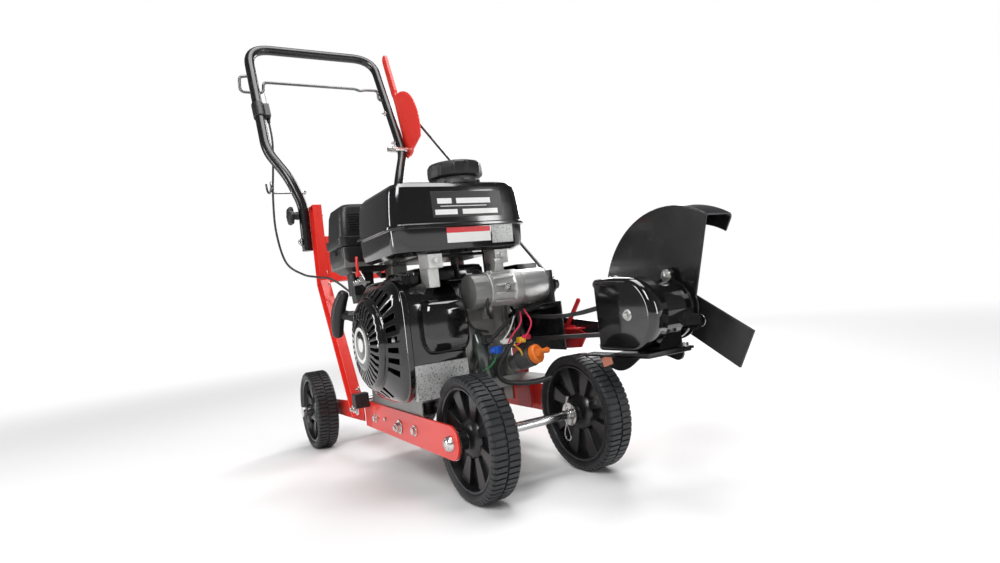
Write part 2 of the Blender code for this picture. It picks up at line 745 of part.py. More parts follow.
def pulley(name, centre, radius, bore):
    """A grooved V-belt pulley."""
    low, high = PULLEY_Y
    middle, half = (low + high) / 2, (high - low) / 2
    groove = 0.010
    profile = [
        (bore, half),
        (radius, half),
        (radius, half - 0.002),
        (radius - groove, 0.0020),
        (radius - groove, -0.0020),
        (radius, -half + 0.002),
        (radius, -half),
        (bore, -half),
    ]
    return turned(name, profile, (centre[0], middle, centre[1]), "steel", steps=32)


def drive_belt():
    """The V-belt round both pulleys, slack on top until the idler takes it up."""
    near, far = Vector(CRANK), Vector(SPINDLE)
    lift = math.degrees(math.atan2(far.y - near.y, far.x - near.x))
    lean = math.degrees(math.asin((ENGINE_PULLEY_RADIUS - HEAD_PULLEY_RADIUS) / (far - near).length))
    middle = (PULLEY_Y[0] + PULLEY_Y[1]) / 2

    def loop(grow):
        r0, r1 = ENGINE_PULLEY_RADIUS + grow, HEAD_PULLEY_RADIUS + grow
        top = lift + 90 - lean
        bottom = lift - 90 + lean
        rear = arc(near, r0, top, bottom + 360, 16)
        front = arc(far, r1, bottom, top, 14)
        first, last = Vector(front[-1]), Vector(rear[0])
        sag = []
        for i in range(1, 9):
            t = i / 9
            sag.append(tuple(first.lerp(last, t) - Vector((0, BELT_SAG * math.sin(math.pi * t)))))
        return rear + front + sag

    belt = sheet("drive_belt", loop(0.0035), middle - 0.0050, middle + 0.0050, "rubber")
    cut(belt, sheet("belt_hole", loop(-0.0033), middle - 0.02, middle + 0.02))
    groove_clear = [
        ring(f"belt_clear_{i}", 0.001, r + 0.0004, (c[0], middle, c[1]), 0.03, None, 32)
        for i, (c, r) in enumerate(((CRANK, ENGINE_PULLEY_RADIUS), (SPINDLE, HEAD_PULLEY_RADIUS)))
    ]
    cut(belt, *groove_clear)


def idler():
    """The belt tensioner: an arm on the crankcase with a plain pulley over the slack run."""
    y_low, y_high = 0.1160, 0.1200
    arm = sheet("idler_arm", slot_outline(IDLER_PIVOT, IDLER_PULLEY, 0.016), y_low, y_high, "zinc")
    tail = sheet("idler_tail", slot_outline(IDLER_PIVOT, (-0.190, 0.352), 0.013), y_low, y_high)
    pin = across("idler_pin", *IDLER_PULLEY, y_high - 0.001, 0.1400, 0.0045, None, 16)
    cut(join(arm, tail, pin), hole("idler_arm", *IDLER_PIVOT, 0.0060, y_low, y_high, 16))
    ring("idler_pulley", 0.0049, 0.0170, (IDLER_PULLEY[0], 0.1325, IDLER_PULLEY[1]), 0.012, "black_plastic")


def belt_guard():
    """The sheet cover over the engine pulley, open to the front for the belt."""
    y_low, y_high = 0.1480, 0.1750
    outline = [
        (-0.018, 0.212),
        (-0.018, 0.3015),
        (-0.0850, 0.3015),
        (-0.0850, 0.378),
        (-0.190, 0.378),
        (-0.232, 0.300),
        (-0.225, 0.212),
    ]
    inner = [
        (0.0, 0.2000),
        (0.0, 0.2993),
        (-0.0872, 0.2993),
        (-0.0872, 0.3755),
        (-0.188, 0.3755),
        (-0.2290, 0.300),
        (-0.2225, 0.2000),
    ]
    guard = sheet("belt_guard", outline, y_low - 0.020, y_high - 0.005, "black_paint")
    cut(guard, sheet("belt_guard_hollow", inner, 0.050, y_high - 0.008))
    return guard


def tank():
    x0, x1 = TANK_X
    y0, y1 = TANK_Y
    bottom, seam, top = TANK_Z
    inset = 0.004
    low, high = (x0 + inset, y0 + inset, bottom), (x1 - inset, y1 - inset, top)
    body = box("fuel_tank", low, high, "gloss_black", 0.022)
    body.modifiers["rounded_edges"].segments = 3
    flange = box("tank_seam", (x0, y0, seam - 0.0015), (x1, y1, seam + 0.0015), None, 0.0)
    join(body, flange)
    join(body, across_z("tank_neck", *CAP, top - 0.004, top + 0.0115, 0.0380))
    cut(body, across_z("neck_bore", *CAP, top - 0.006, top + 0.016, 0.0340))
    lobes = 12
    outline = []
    for i in range(lobes * 4):
        angle = 2 * math.pi * i / (lobes * 4)
        reach = 0.0490 + (0.0012 if i % 4 in (1, 2) else -0.0012)
        outline.append((reach * math.cos(angle), reach * math.sin(angle)))
    cap = flat_sheet("fuel_cap", outline, top + 0.0125, top + 0.0400, CAP, "black_plastic")
    join(cap, across_z("cap_plug", *CAP, top - 0.004, top + 0.0135, 0.0335))
    feet = []
    for i, (fx, fy) in enumerate(((-0.115, 0.012), (-0.115, 0.080), (-0.225, 0.012), (-0.225, 0.080))):
        low, high = (fx - 0.012, fy - 0.002, 0.3625), (fx + 0.012, fy + 0.002, bottom - GAP - 0.001)
        feet.append(box(f"tank_stay_leg_{i}", low, high))
    low, high = (-0.240, -0.060, bottom - GAP - 0.003), (-0.100, 0.090, bottom - GAP)
    stay = box("tank_stay", low, high, "black_paint")
    join(stay, *feet)


def across_z(name, x, y, z_from, z_to, radius, finish=None, sides=32):
    return rod(name, (x, y, z_from), (x, y, z_to), radius, finish, sides)


def flat_sheet(name, outline, z_low, z_high, centre, finish=None):
    """A flat piece whose outline is in X and Y about a centre, between two heights."""
    curve = bpy.data.curves.new(name, "CURVE")
    curve.dimensions = "2D"
    curve.fill_mode = "BOTH"
    curve.extrude = (z_high - z_low) / 2
    spline = curve.splines.new("POLY")
    spline.points.add(len(outline) - 1)
    for point, (x, y) in zip(spline.points, outline):
        point.co = (x, y, 0, 1)
    spline.use_cyclic_u = True
    return as_mesh(add(name, curve, finish, (*centre, (z_low + z_high) / 2)), finish)


def intake():
    """The air cleaner over the carburettor, and the muffler on the head's other side."""
    base = box("air_cleaner_base", (-0.400, -0.135, 0.412), (-0.298, -0.036, 0.452))
    box("air_cleaner_cover", (-0.405, -0.142, 0.4523), (-0.293, -0.030, 0.540), "black_plastic", 0.012)
    carb = box("carburettor", (-0.345, -0.040, 0.352), (-0.300, -0.0048, 0.4115), "cast_aluminium", 0.004)
    join(carb, across("float_bowl", -0.3225, 0.350, -0.036, -0.012, 0.017))
    join(carb, base, box("intake_elbow", (-0.346, -0.046, 0.4080), (-0.300, -0.010, 0.436)))
    muffler = box("muffler", (-0.430, 0.098, 0.315), (-0.305, 0.162, 0.400), "black_paint", 0.014)
    join(muffler, rod("muffler_outlet", (-0.415, 0.130, 0.340), (-0.446, 0.130, 0.325), 0.009, None, 16))
    return muffler


def small_levers():
    """The choke, throttle and fuel levers by the carburettor."""
    for name, x, z, tip, finish, y in (
        ("choke_lever", -0.335, 0.392, (-0.362, 0.400), "black_plastic", -0.0500),
        ("fuel_lever", -0.312, 0.372, (-0.286, 0.366), "red_paint", -0.0500),
        ("throttle_lever", -0.262, 0.395, (-0.262, 0.424), "red_paint", -0.1240),
    ):
        lever = sheet(name, slot_outline((x, z), tip, 0.010, 6), y, y + 0.003, finish)
        join(lever, across(f"{name}_boss", x, z, y - 0.002, y + 0.0075, 0.0058, None, 16))


def starter():
    x, z = STARTER_AXIS
    nose = across("starter_nose", x, z, 0.0303, 0.0920, 0.0300, None, 24)
    collar = across("starter_collar", x, z, 0.0780, 0.0950, 0.0325, None, 24)
    can = turned(
        "starter_motor",
        [
            *((0.0, 0.066), (0.012, 0.066), (0.012, 0.062), (0.0290, 0.062)),
            *((0.0312, 0.059), (0.0312, 0.0), (0.0, 0.0)),
        ],
        (x, 0.0903, z),
        "zinc",
        steps=28,
    )
    return join(can, nose, collar)


def dipstick():
    """The threaded oil cap with its T-shaped finger grip."""
    foot, out = Vector((-0.018, 0.0960, 0.2130)), Vector((0.082, 0.036, 0.028)).normalized()
    start = foot + out * GAP * 2
    cap = rod("oil_cap", start, start + out * 0.012, 0.0165, "orange_plastic", 20)
    side = out.cross(Vector((0, 0, 1))).normalized()
    middle = start + out * 0.021
    join(cap, rod("oil_cap_grip", middle - side * 0.016, middle + side * 0.016, 0.0048, None, 12))
    join(cap, rod("oil_cap_stem", start + out * 0.011, middle, 0.0075, None, 12))


RECOIL_PULL = Vector((-0.35, -0.90, 0.26)).normalized()


def recoil_grip():
    """The starter's T-shaped grip, seated against its rope outlet."""
    seat = Vector((-0.2310, -0.1575, 0.3180))
    grip_middle = seat + RECOIL_PULL * 0.020
    side = Vector((0.30, -0.02, 0.95))
    side = (side - side.dot(RECOIL_PULL) * RECOIL_PULL).normalized()
    ends = (grip_middle - side * 0.037, grip_middle + side * 0.037)
    grip = rod("recoil_grip", *ends, 0.0095, "black_plastic", 16)
    join(grip, rod("recoil_grip_stem", seat + RECOIL_PULL * 0.002, grip_middle, 0.0070, None, 12, 0.0110))


# ---------------------------------------------------------------- blade head


def swing_arm():
    """The bent plate from the pivot round above the wheel to the blade head."""
    y_low, y_high = 0.2055, 0.2090
    arm = sheet("swing_arm", slot_outline(CRANK, (0.030, 0.2450), 0.026), y_low, y_high, "black_paint")
    join(
        arm,
        sheet("arm_middle", slot_outline((0.030, 0.2450), (0.120, 0.2340), 0.026), y_low, y_high),
        sheet("arm_front", slot_outline((0.120, 0.2340), (0.213, 0.2080), 0.024), y_low, y_high),
        sheet("arm_lug", slot_outline(CRANK, ROD_FOOT, 0.024), y_low, y_high),
        across("rod_foot_pin", *ROD_FOOT, y_high - 0.001, 0.2165, 0.0040, None, 16),
        box("head_base_plate", (0.172, 0.1180, 0.2150), (0.245, y_high - 0.001, 0.2190)),
    )
    cut(arm, hole("swing_arm", *CRANK, 0.0065, y_low, y_high))


def spindle_housing():
    x, z = SPINDLE
    body = across("spindle_housing", x, z, 0.1480, 0.2030, 0.0410, "black_paint", 36)
    ears = [
        sheet("ear_top", slot_outline(SPINDLE, (x + 0.004, z + 0.050), 0.024), 0.1980, 0.2030),
        sheet("ear_front", slot_outline(SPINDLE, (x + 0.046, z - 0.020), 0.024), 0.1980, 0.2030),
    ]
    flange = across("housing_flange", x, z, 0.1980, 0.2030, 0.0460, None, 36)
    saddle = box("housing_saddle", (x - 0.024, 0.1500, 0.2193), (x + 0.024, 0.1940, 0.2500))
    join(body, flange, saddle, *ears)
    cut(body, across("housing_bore", x, z, 0.14, 0.22, 0.0130, None, 28))


def belt_cover():
    """The D-shaped cup over the head pulley, open at the back and to the outside."""
    x, z = SPINDLE
    low, high = 0.1175, 0.1475

    def outline(inset):
        radius = 0.0530 - inset
        cx = x - 0.005
        back = 0.137 + inset
        return [(back, 0.2222 + inset), *arc((cx, z), radius, -88, 88, 14), (back, 0.3300 - inset)]

    cover = sheet("belt_cover", outline(0), low, high, "gloss_black")
    cut(cover, sheet("belt_cover_hollow", outline(0.0028), low + 0.0028, high + 0.01))
    cut(cover, box("belt_slot", (0.120, low + 0.0028, z - 0.042), (0.145, high + 0.01, z + 0.038)))
    join(cover, across("belt_cover_bolt", x, z, low - 0.0070, low + 0.001, 0.0085, None, 20))


def spindle():
    x, z = SPINDLE
    shaft = turned(
        "spindle",
        [
            *((0.0, 0.2430), (0.0079, 0.2430), (0.0079, 0.2242), (0.0220, 0.2242)),
            *((0.0220, 0.2165), (0.0125, 0.2165), (0.0125, 0.1225), (0.0, 0.1225)),
        ],
        (x, 0.0, z),
        "steel",
        steps=28,
    )
    join(shaft, across("blade_nut", x, z, 0.2291, 0.2390, 0.0140, None, 6))
    pulley("head_pulley", SPINDLE, HEAD_PULLEY_RADIUS, 0.0128)
    half = BLADE_LENGTH / 2
    blade = box("blade", (-half, -0.0020, -BLADE_WIDTH / 2), (half, 0.0020, BLADE_WIDTH / 2), "blade_steel")
    blade.location = (x, 0.2266, z)
    blade.rotation_euler = (0, -BLADE_ANGLE, 0)
    cut(blade, hole("blade", x, z, 0.0083, 0.2240, 0.2290))


def annular(radius_in, radius_out, start, end, count):
    return arc(SPINDLE, radius_out, start, end, count) + arc(SPINDLE, radius_in, end, start, count)


def blade_guard():
    """The guard: a flat side plate, a rim over the blade and a lip down the outside."""
    first, last, count = 58, 158, 20
    low, outside = 0.2095, 0.2675
    plate_outline = [
        *arc(SPINDLE, GUARD_RADIUS - 0.0012, first, last, count),
        (SPINDLE[0] - 0.120, SPINDLE[1] + 0.006),
        *arc(SPINDLE, 0.0475, 215, 378, 10),
    ]
    guard = sheet("blade_guard", plate_outline, low, low + SHEET, "black_paint")
    rim = annular(GUARD_RADIUS - SHEET, GUARD_RADIUS, first - 0.3, last + 0.3, count)
    lip = annular(GUARD_RADIUS - 0.028, GUARD_RADIUS - 0.0012, first, last, count)
    join(
        guard,
        sheet("guard_rim", rim, low + 0.0005, outside),
        sheet("guard_lip", lip, outside - 0.0035, outside - 0.0005),
    )
    cut(guard, hole("guard", *SPINDLE, 0.0190, low, low + SHEET, 28))


def lay_out():
    for collection in (PARTS, CUTTERS):
        bpy.context.scene.collection.children.link(collection)
    CUTTERS.hide_render = True
    PARTS.objects.link(ORIGIN)
    ORIGIN.location = FRAME_SHIFT


def build():
    lay_out()
    wheels_and_axles()
    side_bar("right_side_bar", *RIGHT_BAR_Y, 0.0)
    side_bar("left_side_bar", *LEFT_BAR_Y, 0.0)
    deck()
    left_pivot_plate()
    upright("right_upright", -1)
    upright("left_upright", 1)
    console()
    handlebar()
    handle_fasteners()
    bail()
    cable()
    rope_guide()
    depth_quadrant()
    depth_lever()
    depth_rod()
    crankcase()
    cylinder()
    blower_housing()
    flywheel()
    drive_belt()
    idler()
    belt_guard()
    tank()
    intake()
    small_levers()
    starter()
    dipstick()
    recoil_grip()
    swing_arm()
    spindle_housing()
    belt_cover()
    spindle()
    blade_guard()


build()
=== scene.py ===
"""The lawn edger's visible surfaces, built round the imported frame."""

import math

import bmesh
import bpy
from mathutils import Matrix, Vector


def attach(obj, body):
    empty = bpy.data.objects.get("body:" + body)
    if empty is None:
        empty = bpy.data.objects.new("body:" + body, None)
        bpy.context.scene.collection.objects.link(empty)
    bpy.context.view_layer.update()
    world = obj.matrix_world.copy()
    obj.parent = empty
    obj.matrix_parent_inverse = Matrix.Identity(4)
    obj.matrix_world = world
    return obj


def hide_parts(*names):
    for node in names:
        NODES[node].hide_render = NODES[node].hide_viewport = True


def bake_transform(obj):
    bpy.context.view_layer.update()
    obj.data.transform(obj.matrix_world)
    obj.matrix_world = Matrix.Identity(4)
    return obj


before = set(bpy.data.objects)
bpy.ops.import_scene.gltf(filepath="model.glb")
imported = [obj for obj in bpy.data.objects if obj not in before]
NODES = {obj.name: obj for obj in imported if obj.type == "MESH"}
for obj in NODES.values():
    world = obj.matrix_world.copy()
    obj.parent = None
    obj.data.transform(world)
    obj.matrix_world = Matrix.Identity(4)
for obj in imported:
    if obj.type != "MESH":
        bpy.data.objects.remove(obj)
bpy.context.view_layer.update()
SHIFT = Vector((0.2620, -0.0238, 0.0))  # from the layout's origin, on the front axle, to the frame's
TAU = 2 * math.pi


# ---------------------------------------------------------------- materials


def mat(name, colour, rough, metal=0.0, grain=900, bump=0.08, spread=0.12, coat=0.0, dust=None, amount=0.25,
    speck=70.0):
    """Paint, plastic or metal with mottled colour, uneven gloss, fine bump and worn or dusty patches."""
    made = bpy.data.materials.new(name)
    made.use_nodes = True
    tree = made.node_tree
    shader = next(n for n in tree.nodes if n.type == "BSDF_PRINCIPLED")
    shader.inputs["Metallic"].default_value = metal
    shader.inputs["Coat Weight"].default_value = coat
    shader.inputs["Coat Roughness"].default_value = 0.06

    def node(kind, **values):
        n = tree.nodes.new(kind)
        for key, value in values.items():
            n.inputs[key].default_value = value
        return n

    place = tree.nodes.new("ShaderNodeTexCoord")
    fine = node("ShaderNodeTexNoise", Scale=grain, Detail=3.0)
    broad = node("ShaderNodeTexNoise", Scale=14.0, Detail=6.0, Roughness=0.62)
    streak = node("ShaderNodeTexNoise", Scale=speck, Detail=4.0)
    for n in (fine, broad, streak):
        tree.links.new(place.outputs["Object"], n.inputs["Vector"])
    tone = tree.nodes.new("ShaderNodeMix")
    tone.data_type = "RGBA"
    dark = [c * (1 - spread) for c in colour]
    light = [min(1.0, c * (1 + spread) + 0.004) for c in colour]
    tone.inputs["A"].default_value = (*dark, 1)
    tone.inputs["B"].default_value = (*light, 1)
    tree.links.new(broad.outputs["Fac"], tone.inputs["Factor"])
    patch = tree.nodes.new("ShaderNodeMapRange")
    patch.inputs["From Min"].default_value = 0.52
    patch.inputs["From Max"].default_value = 0.80
    patch.inputs["To Max"].default_value = amount
    tree.links.new(streak.outputs["Fac"], patch.inputs["Value"])
    worn = tree.nodes.new("ShaderNodeMix")
    worn.data_type = "RGBA"
    worn.inputs["B"].default_value = (*(dust or [min(1.0, c * 1.6 + 0.02) for c in colour]), 1)
    tree.links.new(tone.outputs["Result"], worn.inputs["A"])
    tree.links.new(patch.outputs["Result"], worn.inputs["Factor"])
    tree.links.new(worn.outputs["Result"], shader.inputs["Base Color"])
    gloss = tree.nodes.new("ShaderNodeMapRange")
    gloss.inputs["To Min"].default_value = max(0.02, rough - 0.07)
    gloss.inputs["To Max"].default_value = min(1.0, rough + 0.10)
    tree.links.new(broad.outputs["Fac"], gloss.inputs["Value"])
    tree.links.new(gloss.outputs["Result"], shader.inputs["Roughness"])
    relief = node("ShaderNodeBump", Strength=bump, Distance=0.0006)
    tree.links.new(fine.outputs["Fac"], relief.inputs["Height"])
    tree.links.new(relief.outputs["Normal"], shader.inputs["Normal"])
    return made


RED = mat("red_powder_coat", (0.76, 0.026, 0.014), 0.34, 0.0, 1400, 0.10, 0.08, 0.30, (0.80, 0.055, 0.030), 0.3)
DEEP_RED = mat("deep_red_powder_coat", (0.50, 0.012, 0.016), 0.36, 0.0, 1400, 0.10, 0.08, 0.3)
BLACK = mat("black_powder_coat", (0.0060, 0.0060, 0.0070), 0.24, 0.0, 1200, 0.06, 0.25, 0.25,
    (0.02, 0.02, 0.022), 0.3)
GLOSS = mat("gloss_black_plastic", (0.004, 0.004, 0.0045), 0.10, 0.0, 1000, 0.02, 0.2, 0.8, (0.01, 0.01, 0.011),
    0.3)
SATIN = mat("satin_black_plastic", (0.008, 0.008, 0.009), 0.38, 0.0, 1600, 0.22, 0.2, 0.0, (0.02, 0.02, 0.022),
    0.4)
RIM = mat("rim_black_plastic", (0.006, 0.006, 0.007), 0.28, 0.0, 1500, 0.12, 0.2, 0.15, (0.026, 0.026, 0.028),
    0.35)
RUBBER = mat("tyre_rubber", (0.011, 0.012, 0.014), 0.44, 0.0, 1800, 0.45, 0.25, 0.0, (0.035, 0.036, 0.040), 0.5)
CORD = mat("cable_sheath", (0.012, 0.012, 0.013), 0.45, 0.0, 1500, 0.2, 0.2, 0.0)
BELT = mat("belt_rubber", (0.016, 0.016, 0.017), 0.6, 0.0, 2000, 0.5, 0.25, 0.0)
STEEL_BLACK = mat("blade_black_steel", (0.006, 0.006, 0.007), 0.46, 0.0, 900, 0.3, 0.3, 0.0,
    (0.020, 0.020, 0.021), 0.5)
ZINC = mat("zinc_plate", (0.66, 0.66, 0.64), 0.24, 1.0, 1500, 0.12, 0.10, 0.0, (0.50, 0.49, 0.46), 0.5)
STEEL = mat("turned_steel", (0.62, 0.62, 0.63), 0.20, 1.0, 1600, 0.04, 0.06, 0.0, (0.46, 0.46, 0.45), 0.3)
DARK_STEEL = mat("dark_chrome_wire", (0.20, 0.20, 0.205), 0.22, 1.0, 1600, 0.1, 0.15, 0.0, (0.12, 0.12, 0.12),
    0.4)
CAST = mat("cast_aluminium", (0.31, 0.31, 0.30), 0.44, 0.85, 700, 0.7, 0.16, 0.0, (0.24, 0.235, 0.22), 0.6)
NOSE = mat("bright_casting", (0.58, 0.58, 0.57), 0.40, 0.80, 700, 0.5, 0.12, 0.0, (0.34, 0.335, 0.32), 0.5)
CAN = mat("bright_plated_can", (0.86, 0.86, 0.85), 0.30, 0.9, 1500, 0.10, 0.06, 0.0, (0.70, 0.70, 0.68), 0.4)
DARK_CAST = mat("dark_casting", (0.12, 0.12, 0.12), 0.5, 0.6, 700, 0.7, 0.2, 0.0)
ORANGE = mat("orange_plastic", (0.86, 0.20, 0.022), 0.36, 0.0, 1200, 0.12, 0.06, 0.1)
PALE = mat("pale_label", (0.80, 0.80, 0.79), 0.35, 0.0, 900, 0.03, 0.03, 0.2, (0.7, 0.7, 0.69), 0.3)
GREY_LABEL = mat("grey_label", (0.46, 0.47, 0.46), 0.38, 0.2, 260, 0.08, 0.10, 0.2, (0.10, 0.10, 0.10), 1.7,
    420.0)
RED_LABEL = mat("red_label", (0.66, 0.012, 0.02), 0.3, 0.0, 900, 0.03, 0.05, 0.2)
DARK_LABEL = mat("dark_label", (0.006, 0.006, 0.007), 0.33, 0.0, 900, 0.03, 0.1, 0.1)
SALMON = mat("salmon_sticker", (0.80, 0.30, 0.20), 0.4, 0.0, 900, 0.04, 0.06, 0.1)
WIRES = {
    "red": mat("wire_red", (0.62, 0.015, 0.06), 0.35),
    "blue": mat("wire_blue", (0.015, 0.12, 0.62), 0.35),
    "yellow": mat("wire_yellow", (0.72, 0.42, 0.02), 0.35),
    "green": mat("wire_green", (0.03, 0.25, 0.07), 0.35),
    "white": mat("wire_white", (0.62, 0.62, 0.60), 0.35),
    "black": CORD,
}


# ---------------------------------------------------------------- shapes


class Shape:
    """A mesh built up in the layout's coordinates from simple solids."""

    def __init__(self):
        self.bm = bmesh.new()

    def box(self, low, high, turn=None, pivot=None):
        """A block between two corners, turned about pivot by turn = (axis, radians)."""
        low, high = Vector(low), Vector(high)
        place = Matrix.Translation((low + high) / 2) @ Matrix.Diagonal((*(high - low), 1))
        if turn is not None:
            about = Matrix.Translation(Vector(pivot))
            place = about @ Matrix.Rotation(turn[1], 4, turn[0]) @ about.inverted() @ place
        bmesh.ops.create_cube(self.bm, size=1, matrix=place)
        return self

    def rod(self, start, end, radius, radius_end=None, sides=24):
        """A round bar or cone from start to end."""
        start, end = Vector(start), Vector(end)
        along = end - start
        place = Matrix.Translation((start + end) / 2) @ along.to_track_quat("Z", "Y").to_matrix().to_4x4()
        last = radius if radius_end is None else radius_end
        bmesh.ops.create_cone(
            self.bm, cap_ends=True, segments=sides, radius1=radius, radius2=last, depth=along.length,
            matrix=place
        )
        return self

    def spin(self, profile, centre, axis=(0, 1, 0), steps=48, scale=None):
        """Turns (radius, height) pairs about an axis. A profile that starts and ends on the axis is closed."""
        axis = Vector(axis).normalized()
        turn = axis.to_track_quat("Z", "Y").to_matrix()
        rings = []
        for radius, height in profile:
            if radius < 1e-6:
                rings.append([self.bm.verts.new(Vector(centre) + axis * height)])
                continue
            ring = []
            for i in range(steps):
                a = TAU * i / steps
                r = radius * (scale(a) if scale else 1)
                ring.append(self.bm.verts.new(Vector(centre) + turn @ Vector((r * math.cos(a), r * math.sin(a),
                    height))))
            rings.append(ring)
        closed = profile[0][0] >= 1e-6
        pairs = list(zip(rings, rings[1:])) + ([(rings[-1], rings[0])] if closed else [])
        for first, second in pairs:
            self.bridge(first, second)
        return self

    def bridge(self, first, second, loop=True):
        """Faces between two rows of vertices."""
        count = max(len(first), len(second))
        for i in range(count if loop else count - 1):
            j = (i + 1) % count
            corners = []
            for ring, k in ((first, i), (first, j), (second, j), (second, i)):
                vert = ring[0] if len(ring) == 1 else ring[k]
                if vert not in corners:
                    corners.append(vert)
            if len(corners) > 2:
                self.bm.faces.new(corners)

    def loft(self, rings, caps=True):
        """Joins closed rings of points, all with the same count."""
        made = [[self.bm.verts.new(Vector(p)) for p in ring] for ring in rings]
        for first, second in zip(made, made[1:]):
            self.bridge(first, second)
        if caps:
            self.bm.faces.new(made[0][::-1])
            self.bm.faces.new(made[-1])
        return self

    def tube(self, points, radius, sides=14, taper=None):
        """A round bar along a path, with flat ends."""
        points = [Vector(p) for p in points]
        normal = None
        rings = []
        for i, point in enumerate(points):
            ahead = points[min(i + 1, len(points) - 1)] - points[max(i - 1, 0)]
            ahead.normalize()
            if normal is None:
                normal = ahead.orthogonal().normalized()
            normal = (normal - ahead * normal.dot(ahead)).normalized()
            other = ahead.cross(normal)
            r = radius * (taper(i / (len(points) - 1)) if taper else 1)
            turns = [TAU * k / sides for k in range(sides)]
            ring = [point + (normal * math.cos(a) + other * math.sin(a)) * r for a in turns]
            rings.append(ring)
        return self.loft(rings)

    def plate(self, outline, y_low, y_high):
        """A flat piece with its outline in X and Z."""
        return self.loft([[(x, y, z) for x, z in outline] for y in (y_low, y_high)])

    def bolt(self, centre, axis, size, washer=True, sides=6, length=None):
        """A hexagon head on a washer, with the thread's end showing where a length is given."""
        centre, axis = Vector(centre), Vector(axis).normalized()
        base = centre
        if washer:
            self.rod(base, base + axis * size * 0.22, size * 1.55, None, 28)
            base = base + axis * size * 0.22
        self.rod(base, base + axis * size * 0.80, size * 1.02, size * 0.98, sides)
        if length:
            self.rod(base, base + axis * length, size * 0.52, None, 16)
        else:
            self.rod(base, base + axis * size * 0.86, size * 0.70, None, 20)
        return self

    def done(self, name, material, body, bevel=0.0, angle=38, replaces=(), slot=None, solid=0.0):
        """Makes the object, rides it on its body and hides the nodes it stands for. The slot argument is not
        used.
        """
        bmesh.ops.recalc_face_normals(self.bm, faces=self.bm.faces)
        bmesh.ops.translate(self.bm, verts=self.bm.verts, vec=SHIFT)
        mesh = bpy.data.meshes.new(name)
        self.bm.to_mesh(mesh)
        self.bm.free()
        mesh.shade_smooth()
        mesh.set_sharp_from_angle(angle=math.radians(angle))
        obj = bpy.data.objects.new(name, mesh)
        bpy.context.scene.collection.objects.link(obj)
        mesh.materials.append(material)
        if solid:
            wall = obj.modifiers.new("wall", "SOLIDIFY")
            wall.thickness, wall.offset = abs(solid), 0.0
        if bevel:
            soften(obj, bevel)
        if body:
            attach(obj, body)
        if replaces:
            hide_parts(*replaces)
        return obj


def soften(obj, width, segments=2, angle=35):
    """Bevels the edges sharper than angle degrees."""
    edge = obj.modifiers.new("edge", "BEVEL")
    edge.width, edge.segments, edge.limit_method = width, segments, "ANGLE"
    edge.angle_limit = math.radians(angle)
    edge.harden_normals = False
    return obj


def keep(name, material, bevel=0.0):
    """A CAD node that shows as it is, with its own finish and softened edges."""
    obj = NODES[name]
    obj.data.materials.clear()
    obj.data.materials.append(material)
    if bevel:
        weld = obj.modifiers.new("weld", "WELD")
        weld.merge_threshold = 0.00002
        soften(obj, bevel, 2)
    return obj


def arc(centre, radius, start, end, count=16):
    """Points on an arc from start to end, in degrees."""
    angles = [math.radians(start + (end - start) * i / count) for i in range(count + 1)]
    return [(centre[0] + radius * math.cos(a), centre[1] + radius * math.sin(a)) for a in angles]


def strap(first, second, width, count=12):
    """The outline of a flat bar with round ends, centred on first and second."""
    angle = math.degrees(math.atan2(second[1] - first[1], second[0] - first[0]))
    return arc(first, width / 2, angle + 90, angle + 270, count) + arc(second, width / 2, angle - 90,
        angle + 90, count)


def rounded(x0, x1, z0, z1, radius, count=6):
    """A rectangle with round corners, counter-clockwise."""
    corners = ((x1 - radius, z0 + radius, -90), (x1 - radius, z1 - radius, 0), (x0 + radius, z1 - radius, 90),
        (x0 + radius, z0 + radius, 180))
    points = []
    for x, z, a in corners:
        points += arc((x, z), radius, a, a + 90, count)
    return points


def rect_ring(x0, x1, y0, y1, radius, z, count=8):
    """A rounded rectangle at height z, for a loft."""
    return [(px, py, z) for px, py in rounded(x0, x1, y0, y1, radius, count)]


def rounded_path(points, bend, steps=8):
    """A path with round corners. bend is one radius, or a tuple with one for each corner."""
    points = [Vector(p) for p in points]
    bends = bend if isinstance(bend, tuple) else (bend,) * (len(points) - 2)
    path = [points[0]]
    for before, corner, after, wanted in zip(points, points[1:], points[2:], bends):
        reach = min(wanted, (before - corner).length * 0.49, (after - corner).length * 0.49)
        first = corner + (before - corner).normalized() * reach
        last = corner + (after - corner).normalized() * reach
        for i in range(steps + 1):
            t = i / steps
            path.append(first.lerp(corner, t).lerp(corner.lerp(last, t), t))
    path.append(points[-1])
    return path


def smooth_path(points, step):
    """A smooth curve through the points, with a point about every step metres."""
    points = [Vector(p) for p in points]
    padded = [2 * points[0] - points[1], *points, 2 * points[-1] - points[-2]]
    path = []
    for a, b, c, d in zip(padded, padded[1:], padded[2:], padded[3:]):
        count = max(2, round((c - b).length / step))
        for i in range(count):
            t = i / count
            square, cube = 2 * a - 5 * b + 4 * c - d, 3 * b - a - 3 * c + d
            path.append(0.5 * (2 * b + (c - a) * t + square * t**2 + cube * t**3))
    path.append(points[-1])
    return path


# ---------------------------------------------------------------- wheels


